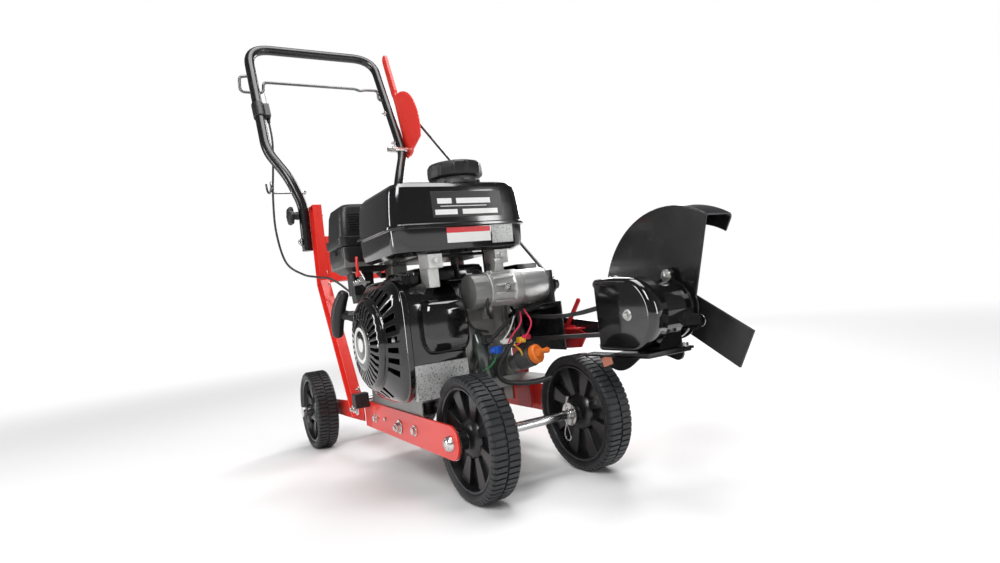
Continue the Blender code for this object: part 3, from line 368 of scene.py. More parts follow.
def tyre(name, x, y, radius, body):
    """A tyre with two staggered rows of tread blocks either side of a centre groove."""
    half, rim = 0.025, radius - 0.0165
    section = [
        (rim, -half + 0.0050, 0),
        (rim + 0.004, -half + 0.0012, 0),
        (radius - 0.0085, -half, 0),
        (radius - 0.0060, -half + 0.0004, 1),
        (radius - 0.0022, -half + 0.0022, 1),
        (radius, -half + 0.0055, 1),
        (radius, -0.0017, 1),
        (radius - 0.0028, -0.0012, 0),
        (radius - 0.0028, 0.0012, 0),
        (radius, 0.0017, 2),
        (radius, half - 0.0055, 2),
        (radius - 0.0022, half - 0.0022, 2),
        (radius - 0.0060, half - 0.0004, 2),
        (radius - 0.0085, half, 0),
        (rim + 0.004, half - 0.0012, 0),
        (rim, half - 0.0050, 0),
    ]
    pitches = 62
    steps = (0.0, 0.20, 0.26, 0.44, 0.50, 0.70, 0.76, 0.94)
    shape = Shape()
    rings = []
    for i in range(pitches):
        for step in steps:
            a = TAU * (i + step) / pitches
            low = {0: False, 1: 0.25 < step < 0.45, 2: 0.75 < step < 0.95}
            ring = []
            for r, across, row in section:
                cut = 0.0024 if low[row] else 0.0
                ring.append(shape.bm.verts.new((x + (r - cut) * math.cos(a), y + across,
                    radius + (r - cut) * math.sin(a))))
            rings.append(ring)
    for first, second in zip(rings, rings[1:] + rings[:1]):
        shape.bridge(first, second)
    shape.done(f"{name}_tyre_tread", RUBBER, body, angle=30, replaces=(f"{name}_tyre",), slot="rubber")


def rim(name, x, y, radius, body, hub_low, hub_high):
    """A moulded rim: a dished barrel, eight raised spokes over a set-back web, and a stepped hub."""
    outer = radius - 0.0163
    inner = outer - 0.0050
    shape = Shape()
    lip = [
        (outer, 0.0200), (outer - 0.0015, 0.0212), (inner, 0.0205), (inner - 0.0028, 0.0080),
        (inner - 0.0040, 0.0030),
        (inner - 0.0040, -0.0030), (inner - 0.0028, -0.0080), (inner, -0.0205), (outer - 0.0015, -0.0212),
        (outer, -0.0200),
    ]
    shape.spin(lip, (x, y, radius), steps=72)
    shape.spin([(0.0095, 0.0026), (inner - 0.003, 0.0026), (inner - 0.003, -0.0026), (0.0095, -0.0026)],
        (x, y, radius), steps=72)
    low, high = hub_low - y, hub_high - y
    hub = [
        (0.0084, high), (0.0130, high), (0.0142, high - 0.0015), (0.0150, 0.0185), (0.0215, 0.0172),
        (0.0290, 0.0130),
        (0.0340, 0.0060), (0.0340, -0.0060), (0.0290, -0.0130), (0.0215, -0.0172), (0.0150, -0.0185),
        (0.0142, low + 0.0015),
        (0.0130, low), (0.0084, low),
    ]
    shape.spin(hub, (x, y, radius), steps=48)
    for i in range(8):
        a = TAU * (i + 0.5) / 8
        for side in (-1, 1):
            ring_in, ring_out = [], []
            for r, half_width, depth, ring in ((0.021, 0.0048, 0.0085, ring_in),
                (inner - 0.001, 0.0165, 0.0125, ring_out)):
                for across, height in ((-half_width, 0.0), (-half_width * 0.86, depth),
                    (half_width * 0.86, depth), (half_width, 0.0)):
                    px = r * math.cos(a) - across * math.sin(a)
                    pz = r * math.sin(a) + across * math.cos(a)
                    ring.append((x + px, y + side * height, radius + pz))
            shape.loft([ring_in, ring_out])
    shape.done(f"{name}_rim_moulding", RIM, body, bevel=0.0007, replaces=(f"{name}_rim",), slot="black_plastic")


for wheel_name, wx, wy, wr, hubs in (
    ("right_front_wheel", 0, -0.0425, 0.1016, (-0.0805, -0.0130)),
    ("left_front_wheel", 0, 0.1775, 0.1016, (0.1475, 0.2045)),
    ("right_rear_wheel", -0.673, -0.1295, 0.0935, (-0.1600, -0.1000)),
    ("left_rear_wheel", -0.673, 0.1295, 0.0935, (0.1000, 0.1600)),
):
    tyre(wheel_name, wx, wy, wr, wheel_name)
    rim(wheel_name, wx, wy, wr, wheel_name, *hubs)


# ---------------------------------------------------------------- frame

for node_name in ("right_side_bar", "left_side_bar", "right_upright", "left_upright", "console_panel"):
    keep(node_name, RED, 0.0007)
keep("left_pivot_plate", DEEP_RED, 0.0006)
keep("engine_deck", CAST, 0.0006)
for node_name in ("front_axle", "rear_axle", "arm_pivot_bolt"):
    keep(node_name, STEEL, 0.0004 if "axle" in node_name else 0)

AXLE_Z = 0.1016
pin_line = [
    (0.007, 0.034), (0.002, 0.016), (-0.002, 0.002), (-0.003, -0.016), (-0.010, -0.032), (-0.009, -0.041),
    (-0.001, -0.045), (0.006, -0.040), (0.005, -0.030), (0.000, -0.014), (0.009, -0.002), (0.010, 0.006),
    (0.003, 0.014), (0.003, 0.022), (0.012, 0.034),
]
hairpin = Shape().tube(smooth_path([(px, 0.1392, AXLE_Z + pz) for px, pz in pin_line], 0.002), 0.0012, 10)
hairpin.done("hairpin_wire", STEEL, "chassis", replaces=("hairpin_clip",), slot="steel")
bolts = Shape()
for bx, bz, size in ((-0.360, 0.099, 0.0062), (-0.146, 0.102, 0.0066), (-0.300, 0.104, 0.0040)):
    bolts.bolt((bx, -0.0876, bz), (0, -1, 0), size, washer=size > 0.005, sides=24)
bolts.bolt((-0.221, -0.0876, 0.099), (0, -1, 0), 0.0088, length=0.011)
bolts.bolt((-0.412, -0.1096, 0.1180), (0, -1, 0), 0.0092, length=0.013)
bolts.bolt((-0.452, -0.0915, 0.1500), (0, -1, 0), 0.0070)
bolts.bolt((-0.600, -0.0915, 0.3950), (0, -1, 0), 0.0064)
bolts.bolt((-0.606, -0.0915, 0.4250), (0, -1, 0), 0.0052)
for bx, bz in ((-0.360, 0.099), (-0.146, 0.102), (-0.221, 0.099), (-0.080, 0.104)):
    bolts.bolt((bx, 0.2192, bz), (0, 1, 0), 0.0068)
bolts.bolt((-0.234, 0.2031, 0.100), (0, 1, 0), 0.0062)
bolts.bolt((-0.600, 0.0915, 0.3950), (0, 1, 0), 0.0064)
bolts.bolt((-0.452, 0.0915, 0.1500), (0, 1, 0), 0.0070)
bolts.done("frame_bolts", ZINC, "chassis", bevel=0.0004, slot="zinc")

heads = Shape()
heads.spin([(0.0, -0.0100), (0.0070, -0.0096), (0.0112, -0.0060), (0.0125, 0.0)], (0, -0.0877, AXLE_Z))
heads.spin([(0.0092, 0.0008), (0.0280, 0.0008), (0.0280, -0.0008), (0.0092, -0.0008)], (0, -0.0822, AXLE_Z),
    steps=64)
heads.spin([(0.0086, 0.0008), (0.0200, 0.0008), (0.0200, -0.0008), (0.0086, -0.0008)], (0, 0.1462, AXLE_Z),
    steps=48)
heads.done("axle_hardware", ZINC, "chassis", slot="zinc")

feet = Shape()
for fx, fy in ((-0.385, -0.060), (-0.140, -0.060), (-0.385, 0.080), (-0.140, 0.080)):
    feet.spin([(0.0, 0.012), (0.017, 0.012), (0.0185, 0.006), (0.0165, 0.0), (0.0185, -0.006), (0.017, -0.012),
        (0.0, -0.012)], (fx, fy, 0.140), (0, 0, 1), 32)
feet.box((-0.4150, -0.1180, 0.1200), (-0.3900, -0.0880, 0.1500))
feet.done("engine_isolators", SATIN, "chassis", bevel=0.001, slot="rubber")

# ---------------------------------------------------------------- handle and controls

LEG = [(-0.640, 0.1225, 0.484), (-0.641, 0.1225, 0.598), (-0.657, 0.144, 0.668), (-0.702, 0.182, 0.748),
    (-0.850, 0.178, 1.070)]
bar = [(px, -py, pz) for px, py, pz in LEG] + LEG[::-1]
BENDS = (0.020, 0.030, 0.030, 0.062)
handle = Shape().tube(rounded_path(bar, (*BENDS, *BENDS[::-1]), 10), 0.0125, 28)
handle.done("handlebar_tube", BLACK, "chassis", bevel=0.001, replaces=("handlebar",), slot="black_paint",
    angle=50)

PIVOT = Vector((-0.785, 0.0, 0.925))
wire = [
    (PIVOT.x + 0.004, -0.1975, PIVOT.z + 0.0410), (PIVOT.x + 0.010, -0.2165, PIVOT.z + 0.0360),
    (PIVOT.x, -0.2165, PIVOT.z), (PIVOT.x, -0.158, PIVOT.z), (PIVOT.x + 0.006, -0.158, PIVOT.z + 0.027),
    (PIVOT.x + 0.006, 0.090, PIVOT.z + 0.027), (PIVOT.x + 0.005, 0.104, PIVOT.z + 0.022),
    (PIVOT.x + 0.005, 0.118, PIVOT.z + 0.026), (PIVOT.x + 0.005, 0.158, PIVOT.z + 0.027),
    (PIVOT.x, 0.158, PIVOT.z), (PIVOT.x, 0.1925, PIVOT.z),
]
Shape().tube(rounded_path(wire, 0.012, 6), 0.0038, 14).done("bail_wire", DARK_STEEL, "bail", replaces=("bail",),
    slot="zinc")


LEG_KNEE_X, LEG_KNEE_Z, LEG_TOP_Z, LEG_LEAN = -0.702, 0.748, 1.070, -0.148


def leg_x(z):
    """Where a handle leg's middle is in X, at height z above its knee."""
    return LEG_KNEE_X + (z - LEG_KNEE_Z) / (LEG_TOP_Z - LEG_KNEE_Z) * LEG_LEAN


route = [
    (-0.757, -0.1590, 0.844), (-0.736, -0.1590, 0.790), (-0.722, -0.1640, 0.740), (-0.706, -0.1720, 0.690),
    (-0.686, -0.1820, 0.625), (-0.672, -0.1860, 0.540), (-0.664, -0.1720, 0.462), (-0.640, -0.1400, 0.428),
    (-0.590, -0.1180, 0.415), (-0.545, -0.0900, 0.400), (-0.500, -0.0300, 0.330), (-0.450, 0.0600, 0.240),
    (-0.380, 0.1000, 0.225), (-0.310, 0.1180, 0.262), (-0.250, 0.1180, 0.325), (-0.204, 0.1180, 0.350),
]
Shape().tube(smooth_path(route, 0.008), 0.0026, 12).done("control_cable_sheath", CORD, "chassis",
    replaces=("control_cable",), slot="rubber")

CLIP_Z = 0.866
clip = Shape()
clip_turn = ("Y", math.atan2(-0.148, 0.322))
clip_spot = (leg_x(CLIP_Z), -0.1805, CLIP_Z)
clip.spin([(0.0130, 0.024), (0.0158, 0.022), (0.0158, -0.022), (0.0130, -0.024)], clip_spot,
    (-0.148, 0.0, 0.322), 32)
clip.box((leg_x(CLIP_Z) - 0.010, -0.1680, CLIP_Z - 0.020), (leg_x(CLIP_Z) + 0.010, -0.1540, CLIP_Z + 0.020),
    clip_turn, clip_spot)
clip.rod((-0.7595, -0.1590, 0.852), (-0.7540, -0.1590, 0.836), 0.0058, 0.0042, 20)
clip.done("cable_clip", SATIN, "chassis", bevel=0.0012, slot="black_plastic")

wire_start = Vector((leg_x(0.886), -0.1590, 0.886))
inner = Shape().tube(smooth_path([wire_start, (PIVOT.x - 0.004, -0.1530, 0.905), (PIVOT.x, -0.1560, 0.925)],
    0.006), 0.0008, 8)
inner_wire = inner.done("cable_inner_wire", STEEL, None, slot="steel")
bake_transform(inner_wire)

keep("rope_guide", DARK_STEEL)
guide_nut = Shape().bolt((-0.6460, -0.1145, 0.6300), (0, 1, 0), 0.0050, washer=False)
guide_nut.rod((-0.6460, -0.1485, 0.6300), (-0.6460, -0.1120, 0.6300), 0.0026, None, 12)
guide_nut.done("rope_guide_nut", ZINC, "chassis", slot="zinc")

for side, sign in (("left", 1), ("right", -1)):
    knob = Shape()
    lobes = lambda a: 1 + 0.13 * math.cos(6 * a)
    face = sign * 0.1365
    knob.spin([(0.0, 0.0140), (0.0125, 0.0138), (0.0190, 0.0115), (0.0212, 0.0070), (0.0205, 0.0020),
        (0.0150, 0.0), (0.0, 0.0)], (-0.640, face + sign * 0.012, 0.572), (0, sign, 0), 72, lobes)
    knob.spin([(0.0, 0.013), (0.0085, 0.013), (0.0105, 0.0), (0.0, 0.0)], (-0.640, face, 0.572), (0, sign, 0),
        24)
    knob.done(f"{side}_knob_moulding", SATIN, f"{side}_handle_knob", bevel=0.0006,
        replaces=(f"{side}_handle_knob",), slot="black_plastic")
    ends = Shape().bolt((-0.640, sign * 0.1355, 0.507), (0, sign, 0), 0.0062)
    ends.bolt((-0.640, sign * 0.0870, 0.507), (0, -sign, 0), 0.0058, length=0.009)
    ends.bolt((-0.640, sign * 0.0870, 0.572), (0, -sign, 0), 0.0058, length=0.009)
    ends.done(f"{side}_leg_bolts", ZINC, "chassis", bevel=0.0004, slot="zinc")

keep("depth_quadrant", RED, 0.0008)
keep("depth_lever", RED, 0.0010)
keep("depth_rod", BLACK, 0.0003)
clamp = Shape()
for t in (0.35, 0.02):
    cz = 0.775 + t * 0.30
    cx = leg_x(cz)
    clamp.bolt((cx, 0.1662, cz), (0, -1, 0), 0.0048, length=0.008)
clamp.rod((-0.695, 0.1400, 0.757), (-0.695, 0.1950, 0.757), 0.0060, None, 20)
clamp.spin([(0.0, 0.026), (0.0085, 0.026), (0.0085, 0.021), (0.0066, 0.0195), (0.0085, 0.018), (0.0066, 0.0165),
    (0.0085, 0.015), (0.0066, 0.0135), (0.0085, 0.012), (0.0066, 0.010), (0.0085, 0.008), (0.0066, 0.0),
    (0.0, 0.0)], (-0.695, 0.136, 0.757), steps=24)
clamp.done("lever_pivot_hardware", ZINC, "chassis", bevel=0.0003, slot="zinc")

# ---------------------------------------------------------------- blade head

SPINDLE = (0.213, 0.275)
SX, SZ = SPINDLE
keep("swing_arm", BLACK, 0.0009)
keep("spindle_housing", GLOSS, 0.0015)
keep("spindle", STEEL, 0.0004)
keep("head_pulley", STEEL, 0.0003)
keep("blade", STEEL_BLACK, 0.0007)
keep("drive_belt", BELT, 0.0006)

FIRST, LAST, STEPS = 57.7, 158.3, 48
plate_points = [*arc(SPINDLE, 0.1535, FIRST, LAST, STEPS), (SX - 0.120, SZ + 0.006),
    *arc(SPINDLE, 0.0475, 215, 378, 24)]
guard = Shape().plate(plate_points, 0.2095, 0.2125)
bend, thick, outside, lip_depth = 0.011, 0.0030, 0.2675, 0.031
section = [(0.1550, 0.2100)]
section += [(0.1550 - bend + bend * math.cos(a),
    outside - bend + bend * math.sin(a)) for a in [math.pi / 2 * i / 7 for i in range(8)]]
section += [(0.1550 - lip_depth + 0.002, outside), (0.1550 - lip_depth, outside - 0.0015),
    (0.1550 - lip_depth + 0.002, outside - thick)]
inner_bend = bend - thick
section += [(0.1550 - bend + inner_bend * math.cos(a),
    outside - bend + inner_bend * math.sin(a)) for a in [math.pi / 2 * (7 - i) / 7 for i in range(8)]]
section += [(0.1520, 0.2100)]
rings = []
for i in range(STEPS + 1):
    a = math.radians(FIRST + (LAST - FIRST) * i / STEPS)
    rings.append([(SX + r * math.cos(a), across, SZ + r * math.sin(a)) for r, across in section])
guard.loft(rings)
guard.done("blade_guard_sheet", BLACK, "blade_arm", bevel=0.0006, replaces=("blade_guard",), slot="black_paint")



def belt_cover():
    """The D-shaped cup with a rolled edge, open at the back for the belt."""
    back, low, deep = 0.137, 0.1175, 0.1475
    rows = []
    for inset, y in ((0.0075, low), (0.0048, low + 0.0006), (0.0024, low + 0.0022), (0.0007, low + 0.0048),
        (0.0, low + 0.0080), (0.0, deep)):
        radius = 0.0530 - inset
        bottom, top = 0.2222 + inset, 0.3300 - inset
        line = [(back + inset, bottom + 0.004), (back + inset + 0.0012, bottom + 0.0012),
            (back + inset + 0.004, bottom)]
        line += [(0.160, bottom), (0.185, bottom), *arc((SX - 0.005, SZ), radius, -86, 86, 44), (0.185, top),
            (0.160, top)]
        line += [(back + inset + 0.004, top), (back + inset + 0.0012, top - 0.0012),
            (back + inset, top - 0.004)]
        rows.append([(px, y, pz) for px, pz in line])
    cup = Shape()
    made = [[cup.bm.verts.new(p) for p in row] for row in rows]
    cup.bm.faces.new(made[0])
    for first, second in zip(made, made[1:]):
        for i in range(len(first) - 1):
            cup.bm.faces.new((first[i], first[i + 1], second[i + 1], second[i]))
    cup.done("belt_cover_shell", GLOSS, "blade_arm", replaces=("belt_cover",), slot="gloss_black", solid=0.0026,
        angle=40)


belt_cover()

head = Shape()
for ex, ez in ((SX + 0.004, SZ + 0.050), (SX + 0.046, SZ - 0.020)):
    head.bolt((ex, 0.2126, ez), (0, 1, 0), 0.0060)
head.bolt((SX + 0.004, 0.1979, SZ + 0.050), (0, -1, 0), 0.0062, length=0.006, washer=True)
head.spin([(0.0045, 0.0012), (0.0082, 0.0012), (0.0086, 0.0), (0.0086, -0.0012), (0.0045, -0.0012)],
    (SX, 0.1166, SZ), steps=40)
head.bolt((SX, 0.1158, SZ), (0, -1, 0), 0.0052, length=0.006)
for hx in (0.158, 0.170):
    head.bolt((hx, 0.1400, 0.3290), (0, 0, 1), 0.0044)
for hx in (0.186, 0.238):
    head.bolt((hx, 0.1985, 0.2192), (0, 0, 1), 0.0050)
head.done("blade_head_bolts", ZINC, "blade_arm", bevel=0.0003, slot="zinc")

skirt = Shape()
curve = [(0.098 + 0.104 * i / 20, 0.2105 - 0.024 * math.sin(math.pi * i / 20)) for i in range(21)]
skirt.plate([(0.202, 0.2148), (0.098, 0.2148), *curve], 0.1432, 0.1462)
skirt.box((0.090, 0.1180, 0.2118), (0.240, 0.1462, 0.2149))
skirt.box((0.172, 0.1180, 0.2118), (0.244, 0.2040, 0.2149))
skirt.done("head_gusset", BLACK, "blade_arm", bevel=0.0008, slot="black_paint")
sticker = Shape().box((0.112, 0.1424, 0.1935), (0.136, 0.1433, 0.2085), ("Y", math.radians(-16)),
    (0.124, 0.143, 0.201))
sticker.done("blank_sticker", SALMON, "blade_arm", slot="orange_plastic")

keep("belt_guard", BLACK, 0.0008)
keep("engine_pulley", STEEL, 0.0003)
keep("crankshaft", STEEL, 0.0003)
keep("idler_arm", ZINC, 0.0004)
keep("idler_pulley", SATIN, 0.0006)
guard_bolts = Shape()
for gx, gz in ((-0.070, 0.285), (-0.040, 0.228), (-0.200, 0.235), (-0.115, 0.360)):
    guard_bolts.bolt((gx, 0.1702, gz), (0, 1, 0), 0.0050)
guard_bolts.rod((-0.070, 0.1000, 0.3000), (-0.070, 0.1660, 0.2920), 0.0045, None, 12)
guard_bolts.done("belt_guard_bolts", ZINC, "chassis", bevel=0.0003, slot="zinc")

# ---------------------------------------------------------------- engine

CX, CZ = -0.1715, 0.264
for node_name in ("crankcase", "carburettor"):
    keep(node_name, CAST, 0.0012)
keep("flywheel", DARK_CAST, 0.0006)
keep("cylinder", CAST, 0.0006)
keep("valve_cover", BLACK)
keep("spark_plug_cap", SATIN, 0.0015)
keep("muffler", BLACK)
keep("tank_stay", BLACK, 0.0006)
keep("choke_lever", SATIN, 0.0006)
keep("fuel_lever", RED, 0.0006)
keep("throttle_lever", RED, 0.0006)


def squircle(a, half=0.1045, power=4.2):
    """The radius at angle a of a square with full, soft corners."""
    return half / (abs(math.cos(a)) ** power + abs(math.sin(a)) ** power) ** (1 / power)


def fan_cover():
    """The slotted cover: a dome with radial slots, a step, a band with square slots, then the squared body."""
    columns = 192
    rows = [
        (0.0330, -0.1592, 0), (0.0400, -0.1588, 0), (0.0445, -0.1572, 0), (0.0640, -0.1545, 0),
        (0.0715, -0.1520, 0),
        (0.0780, -0.1478, 0), (0.0800, -0.1440, 0), (0.0820, -0.1435, 0), (0.0835, -0.1405, 0),
        (0.0960, -0.1270, 0.75),
        (0.1000, -0.1215, 1.0), (0.1045, -0.1160, 1.0),
    ]
    shape = Shape()
    rings = []
    for r, y, square in rows:
        ring = []
        for i in range(columns):
            a = TAU * i / columns
            reach = r * (1 - square) + squircle(a, r) * square
            ring.append(shape.bm.verts.new((CX + reach * math.cos(a), y, CZ + reach * math.sin(a))))
        rings.append(ring)
    for row, (first, second) in enumerate(zip(rings, rings[1:])):
        for i in range(columns):
            j = (i + 1) % columns
            radial = row in (2, 3) and i % 6 in (1, 2, 3)
            square = row == 8 and i % 6 in (1, 2, 3) and not 161 <= i <= 172
            if radial or square:
                continue
            shape.bm.faces.new((first[i], first[j], second[j], second[i]))
    shape.done("fan_cover_shell", GLOSS, "chassis", replaces=("recoil_cover",), slot="gloss_black",
        solid=0.0024, angle=32, bevel=0.0004)
    ribs = Shape()
    ribs.spin([(0.0520, -0.1528), (0.0545, -0.1528), (0.0545, -0.1545), (0.0520, -0.1545)], (CX, 0, CZ),
        steps=72)
    ribs.spin([(0.0788, -0.1462), (0.0812, -0.1462), (0.0812, -0.1430), (0.0788, -0.1430)], (CX, 0, CZ),
        steps=72)
    ribs.spin([(0.0, -0.1530), (0.0345, -0.1530), (0.0345, -0.1596), (0.0325, -0.1604), (0.0, -0.1604)],
        (CX, 0, CZ), steps=64)
    ribs.done("fan_cover_ribs", GLOSS, "chassis", slot="gloss_black", angle=30)
    badge = Shape().spin([(0.0258, -0.1600), (0.0258, -0.1610), (0.0318, -0.1610), (0.0318, -0.1600)],
        (CX, 0, CZ), steps=72)
    badge.spin([(0.0, -0.1600), (0.0, -0.1608), (0.0120, -0.1608), (0.0125, -0.1600)], (CX, 0, CZ), steps=40)
    badge.done("plain_badge_ring", PALE, "chassis", slot="zinc", angle=30)


def blower():
    """The squared shroud behind the fan cover, with a pinched waist towards the crankcase."""
    columns = 96
    rows = [(0.1045, -0.1160), (0.1068, -0.1150), (0.1068, -0.1080), (0.1030, -0.1060), (0.1020, -0.0600),
        (0.0980, -0.0400), (0.0960, -0.0048)]
    shape = Shape()
    rings = []
    for r, y in rows:
        ring = []
        for i in range(columns):
            a = TAU * i / columns
            reach = squircle(a, r, 4.2 if y < -0.05 else 3.2)
            ring.append(shape.bm.verts.new((CX + reach * math.cos(a), y,
                max(0.1588, CZ + reach * math.sin(a)))))
        rings.append(ring)
    for first, second in zip(rings, rings[1:]):
        shape.bridge(first, second)
    shape.done("blower_shroud", GLOSS, "chassis", replaces=("blower_housing",), slot="gloss_black",
        solid=0.0022, angle=32, bevel=0.0008)
    boss = Shape()
    boss.loft([[(px, y, pz) for px, pz in rounded(CX + 0.040, CX + 0.1240 - d, 0.236 + d, 0.332 - d,
        0.026)] for y, d in ((-0.0880, 0.016), (-0.0845, 0.008), (-0.0770, 0.002), (-0.0680, 0.0),
        (-0.0120, 0.0), (-0.0050, 0.004))])
    boss.done("shroud_coil_bulge", GLOSS, "chassis", bevel=0.002, slot="gloss_black")
    screws = Shape()
    for a in (48, 132, 228, 312):
        sx, sz = CX + 0.1130 * math.cos(math.radians(a)), CZ + 0.1130 * math.sin(math.radians(a))
        screws.bolt((sx, -0.1165, sz), (0, -1, 0), 0.0042, washer=True)
    screws.bolt((-0.1120, -0.0420, 0.3630), (0, -1, 0.25), 0.0052)
    screws.done("shroud_screws", ZINC, "chassis", bevel=0.0003, slot="zinc")
    tin = Shape().loft([rect_ring(-0.262 + d, -0.110 - d, -0.070 + d, 0.070 - d, 0.012, z) for d,
        z in ((0.0, 0.3625), (0.0, 0.3800), (0.003, 0.3860), (0.010, 0.3880))])
    tin.box((-0.200, -0.096, 0.3560), (-0.110, -0.060, 0.3760))
    for i in range(6):
        tin.box((-0.252 + i * 0.022, -0.0715, 0.3660), (-0.242 + i * 0.022, -0.0695, 0.3820))
    tin.done("cylinder_tin", GLOSS, "chassis", bevel=0.0010, slot="black_paint")
    plate = Shape().box((CX + 0.0955, -0.1060, 0.164), (CX + 0.1062, -0.0080, 0.223))
    plate.done("blank_spec_plate", GREY_LABEL, "chassis", bevel=0.0004, slot="zinc")


fan_cover()
blower()

grip_seat = Vector((-0.2310, -0.1575, 0.3180))
pull = Vector((-0.35, -0.90, 0.26)).normalized()
cross = Vector((0.30, -0.02, 0.95))
cross = (cross - cross.dot(pull) * pull).normalized()
grip_mid = grip_seat + pull * 0.020
grip = Shape()
grip_path = [grip_mid + cross * (t * 0.044) - pull * (0.006 * t * t) for t in [i / 10 - 1 for i in range(21)]]
grip.tube(grip_path, 0.0118, 20, taper=lambda t: 0.80 + 0.28 * math.sin(math.pi * min(1,
    max(0, t))) if 0.04 < t < 0.96 else 0.62)
grip.rod(grip_seat + pull * 0.001, grip_mid, 0.0082, 0.0115, 20)
grip.done("recoil_grip_moulding", SATIN, "recoil_grip", bevel=0.0006, replaces=("recoil_grip",),
    slot="black_plastic", angle=50)
rope = Shape().tube([grip_seat - pull * 0.020 + pull * (0.034 * i / 24) for i in range(25)], 0.0021, 10)
starter_rope = rope.done("starter_rope", CORD, None, slot="rubber")
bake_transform(starter_rope)
outlet = Shape().spin([(0.0026, 0.004), (0.0085, 0.004), (0.0100, -0.004), (0.0100, -0.030), (0.0026, -0.030)],
    tuple(grip_seat - pull * 0.002), tuple(pull), 28)
outlet.done("rope_outlet", SATIN, "chassis", slot="black_plastic")


def tank():
    """The fuel tank in two shells that meet at a seam, with its labels, neck and cap."""
    x0, x1, y0, y1, seam = -0.252, -0.045, -0.1300, 0.1400, 0.4535
    layers = [(0.034, 0.4058, 0.026), (0.020, 0.4066, 0.026), (0.0105, 0.4120, 0.026), (0.0080, 0.4220, 0.026),
        (0.0065, 0.4500, 0.026)]
    lower = [rect_ring(x0 + d * 0.9, x1 - d * 0.75, y0 + d, y1 - d, r, z) for d, z, r in layers]
    edge = ((0.0005, seam - 0.0026, 0.033), (0.0, seam - 0.0018, 0.034), (0.0, seam + 0.0018, 0.034),
        (0.0005, seam + 0.0026, 0.033))
    flange = [rect_ring(x0 + d, x1 - d, y0 + d, y1 - d, r, z) for d, z, r in edge]
    upper = [
        rect_ring(x0 + a, x1 - b, y0 + c, y1 - c, r, z)
        for a, b, c, z, r in (
            (0.0055, 0.0050, 0.0055, seam + 0.0034, 0.026), (0.0062, 0.0055, 0.0068, 0.4800, 0.026),
            (0.0080, 0.0065, 0.0095, 0.5080, 0.026), (0.0110, 0.0078, 0.0125, 0.5200, 0.026),
            (0.0180, 0.0125, 0.0200, 0.5272, 0.024), (0.0300, 0.0240, 0.0330, 0.5306, 0.020),
            (0.0500, 0.0450, 0.0550, 0.5312, 0.018),
        )
    ]
    body = Shape().loft(lower + flange + upper)
    body.done("tank_shell", GLOSS, "chassis", bevel=0.0008, replaces=("fuel_tank",), slot="gloss_black",
        angle=24)
    cx, cy = -0.108, 0.030
    neck = Shape().spin([(0.0342, 0.5435), (0.0385, 0.5435), (0.0392, 0.5325), (0.0450, 0.5300),
        (0.0342, 0.5300)], (cx, cy, 0), (0, 0, 1), 56)
    for a in range(0, 360, 60):
        neck.box((cx + 0.038, cy - 0.006, 0.5340), (cx + 0.0440, cy + 0.006, 0.5385), ("Z", math.radians(a)),
            (cx, cy, 0.534))
    neck.done("tank_neck", DARK_CAST, "chassis", bevel=0.0006, slot="zinc")

    def facets(a):
        step = TAU / 12
        off = (a % step) - step / 2
        return math.cos(step / 2) / math.cos(off) * (0.974 if abs(off) > 0.42 * step else 1.0) * 1.02

    cap = Shape().spin(
        [(0.0, 0.5722), (0.0300, 0.5722), (0.0400, 0.5718), (0.0470, 0.5700), (0.0493, 0.5665),
        (0.0500, 0.5600), (0.0500, 0.5490), (0.0488, 0.5452), (0.0440, 0.5438), (0.0, 0.5438)],
        (cx, cy, 0), (0, 0, 1), 192, facets,
    )
    cap.done("fuel_cap_moulding", SATIN, "fuel_cap", bevel=0.0006, replaces=("fuel_cap",), slot="black_plastic",
        angle=26)
    front = x1 - 0.0052
    tilt = ("Y", math.radians(-2))
    main = Shape().box((front - 0.0010, -0.050, 0.4665), (front + 0.0005, 0.087, 0.5115), tilt,
        (front, 0, 0.4665))
    main.done("blank_tank_label", DARK_LABEL, "chassis", bevel=0.0004, slot="black_plastic")
    bars = Shape()
    for z, y_from, y_to, tall in ((0.4900, -0.039, -0.012, 0.0092), (0.4900, -0.003, 0.064, 0.0092),
        (0.4850, -0.034, 0.056, 0.0012), (0.4710, -0.045, -0.003, 0.0088), (0.4710, 0.007, 0.077, 0.0088)):
        bars.box((front - 0.0004, y_from, z), (front + 0.0008, y_to, z + tall), tilt, (front, 0, 0.4665))
    bars.done("label_stripes", PALE, "chassis", slot="zinc")
    low = x1 - 0.0046
    lean = ("Y", math.radians(2))
    Shape().box((low - 0.0006, -0.028, 0.4395), (low + 0.0004, 0.057, 0.4485), lean,
        (low, 0, 0.449)).done("label_red_band", RED_LABEL, "chassis", slot="red_paint")
    white = Shape().box((low - 0.0006, -0.028, 0.4225), (low + 0.0004, 0.057, 0.4393), lean, (low, 0, 0.449))
    white.done("label_white_band", PALE, "chassis", slot="zinc")
    Shape().box((low - 0.0006, 0.060, 0.4180), (low + 0.0004, 0.103, 0.4500), lean,
        (low, 0, 0.449)).done("label_grey", GREY_LABEL, "chassis", slot="zinc")
    stays = Shape()
    for sy in (-0.052, 0.078):
        stays.box((-0.0980, sy - 0.013, 0.3820), (-0.0560, sy + 0.013, 0.4062))
        stays.box((-0.1040, sy - 0.010, 0.3500), (-0.0700, sy + 0.010, 0.3840))
        stays.bolt((-0.0558, sy, 0.3950), (1, 0, 0), 0.0058)
    stays.done("tank_mount_brackets", NOSE, "chassis", bevel=0.0015, slot="cast_aluminium")


tank()

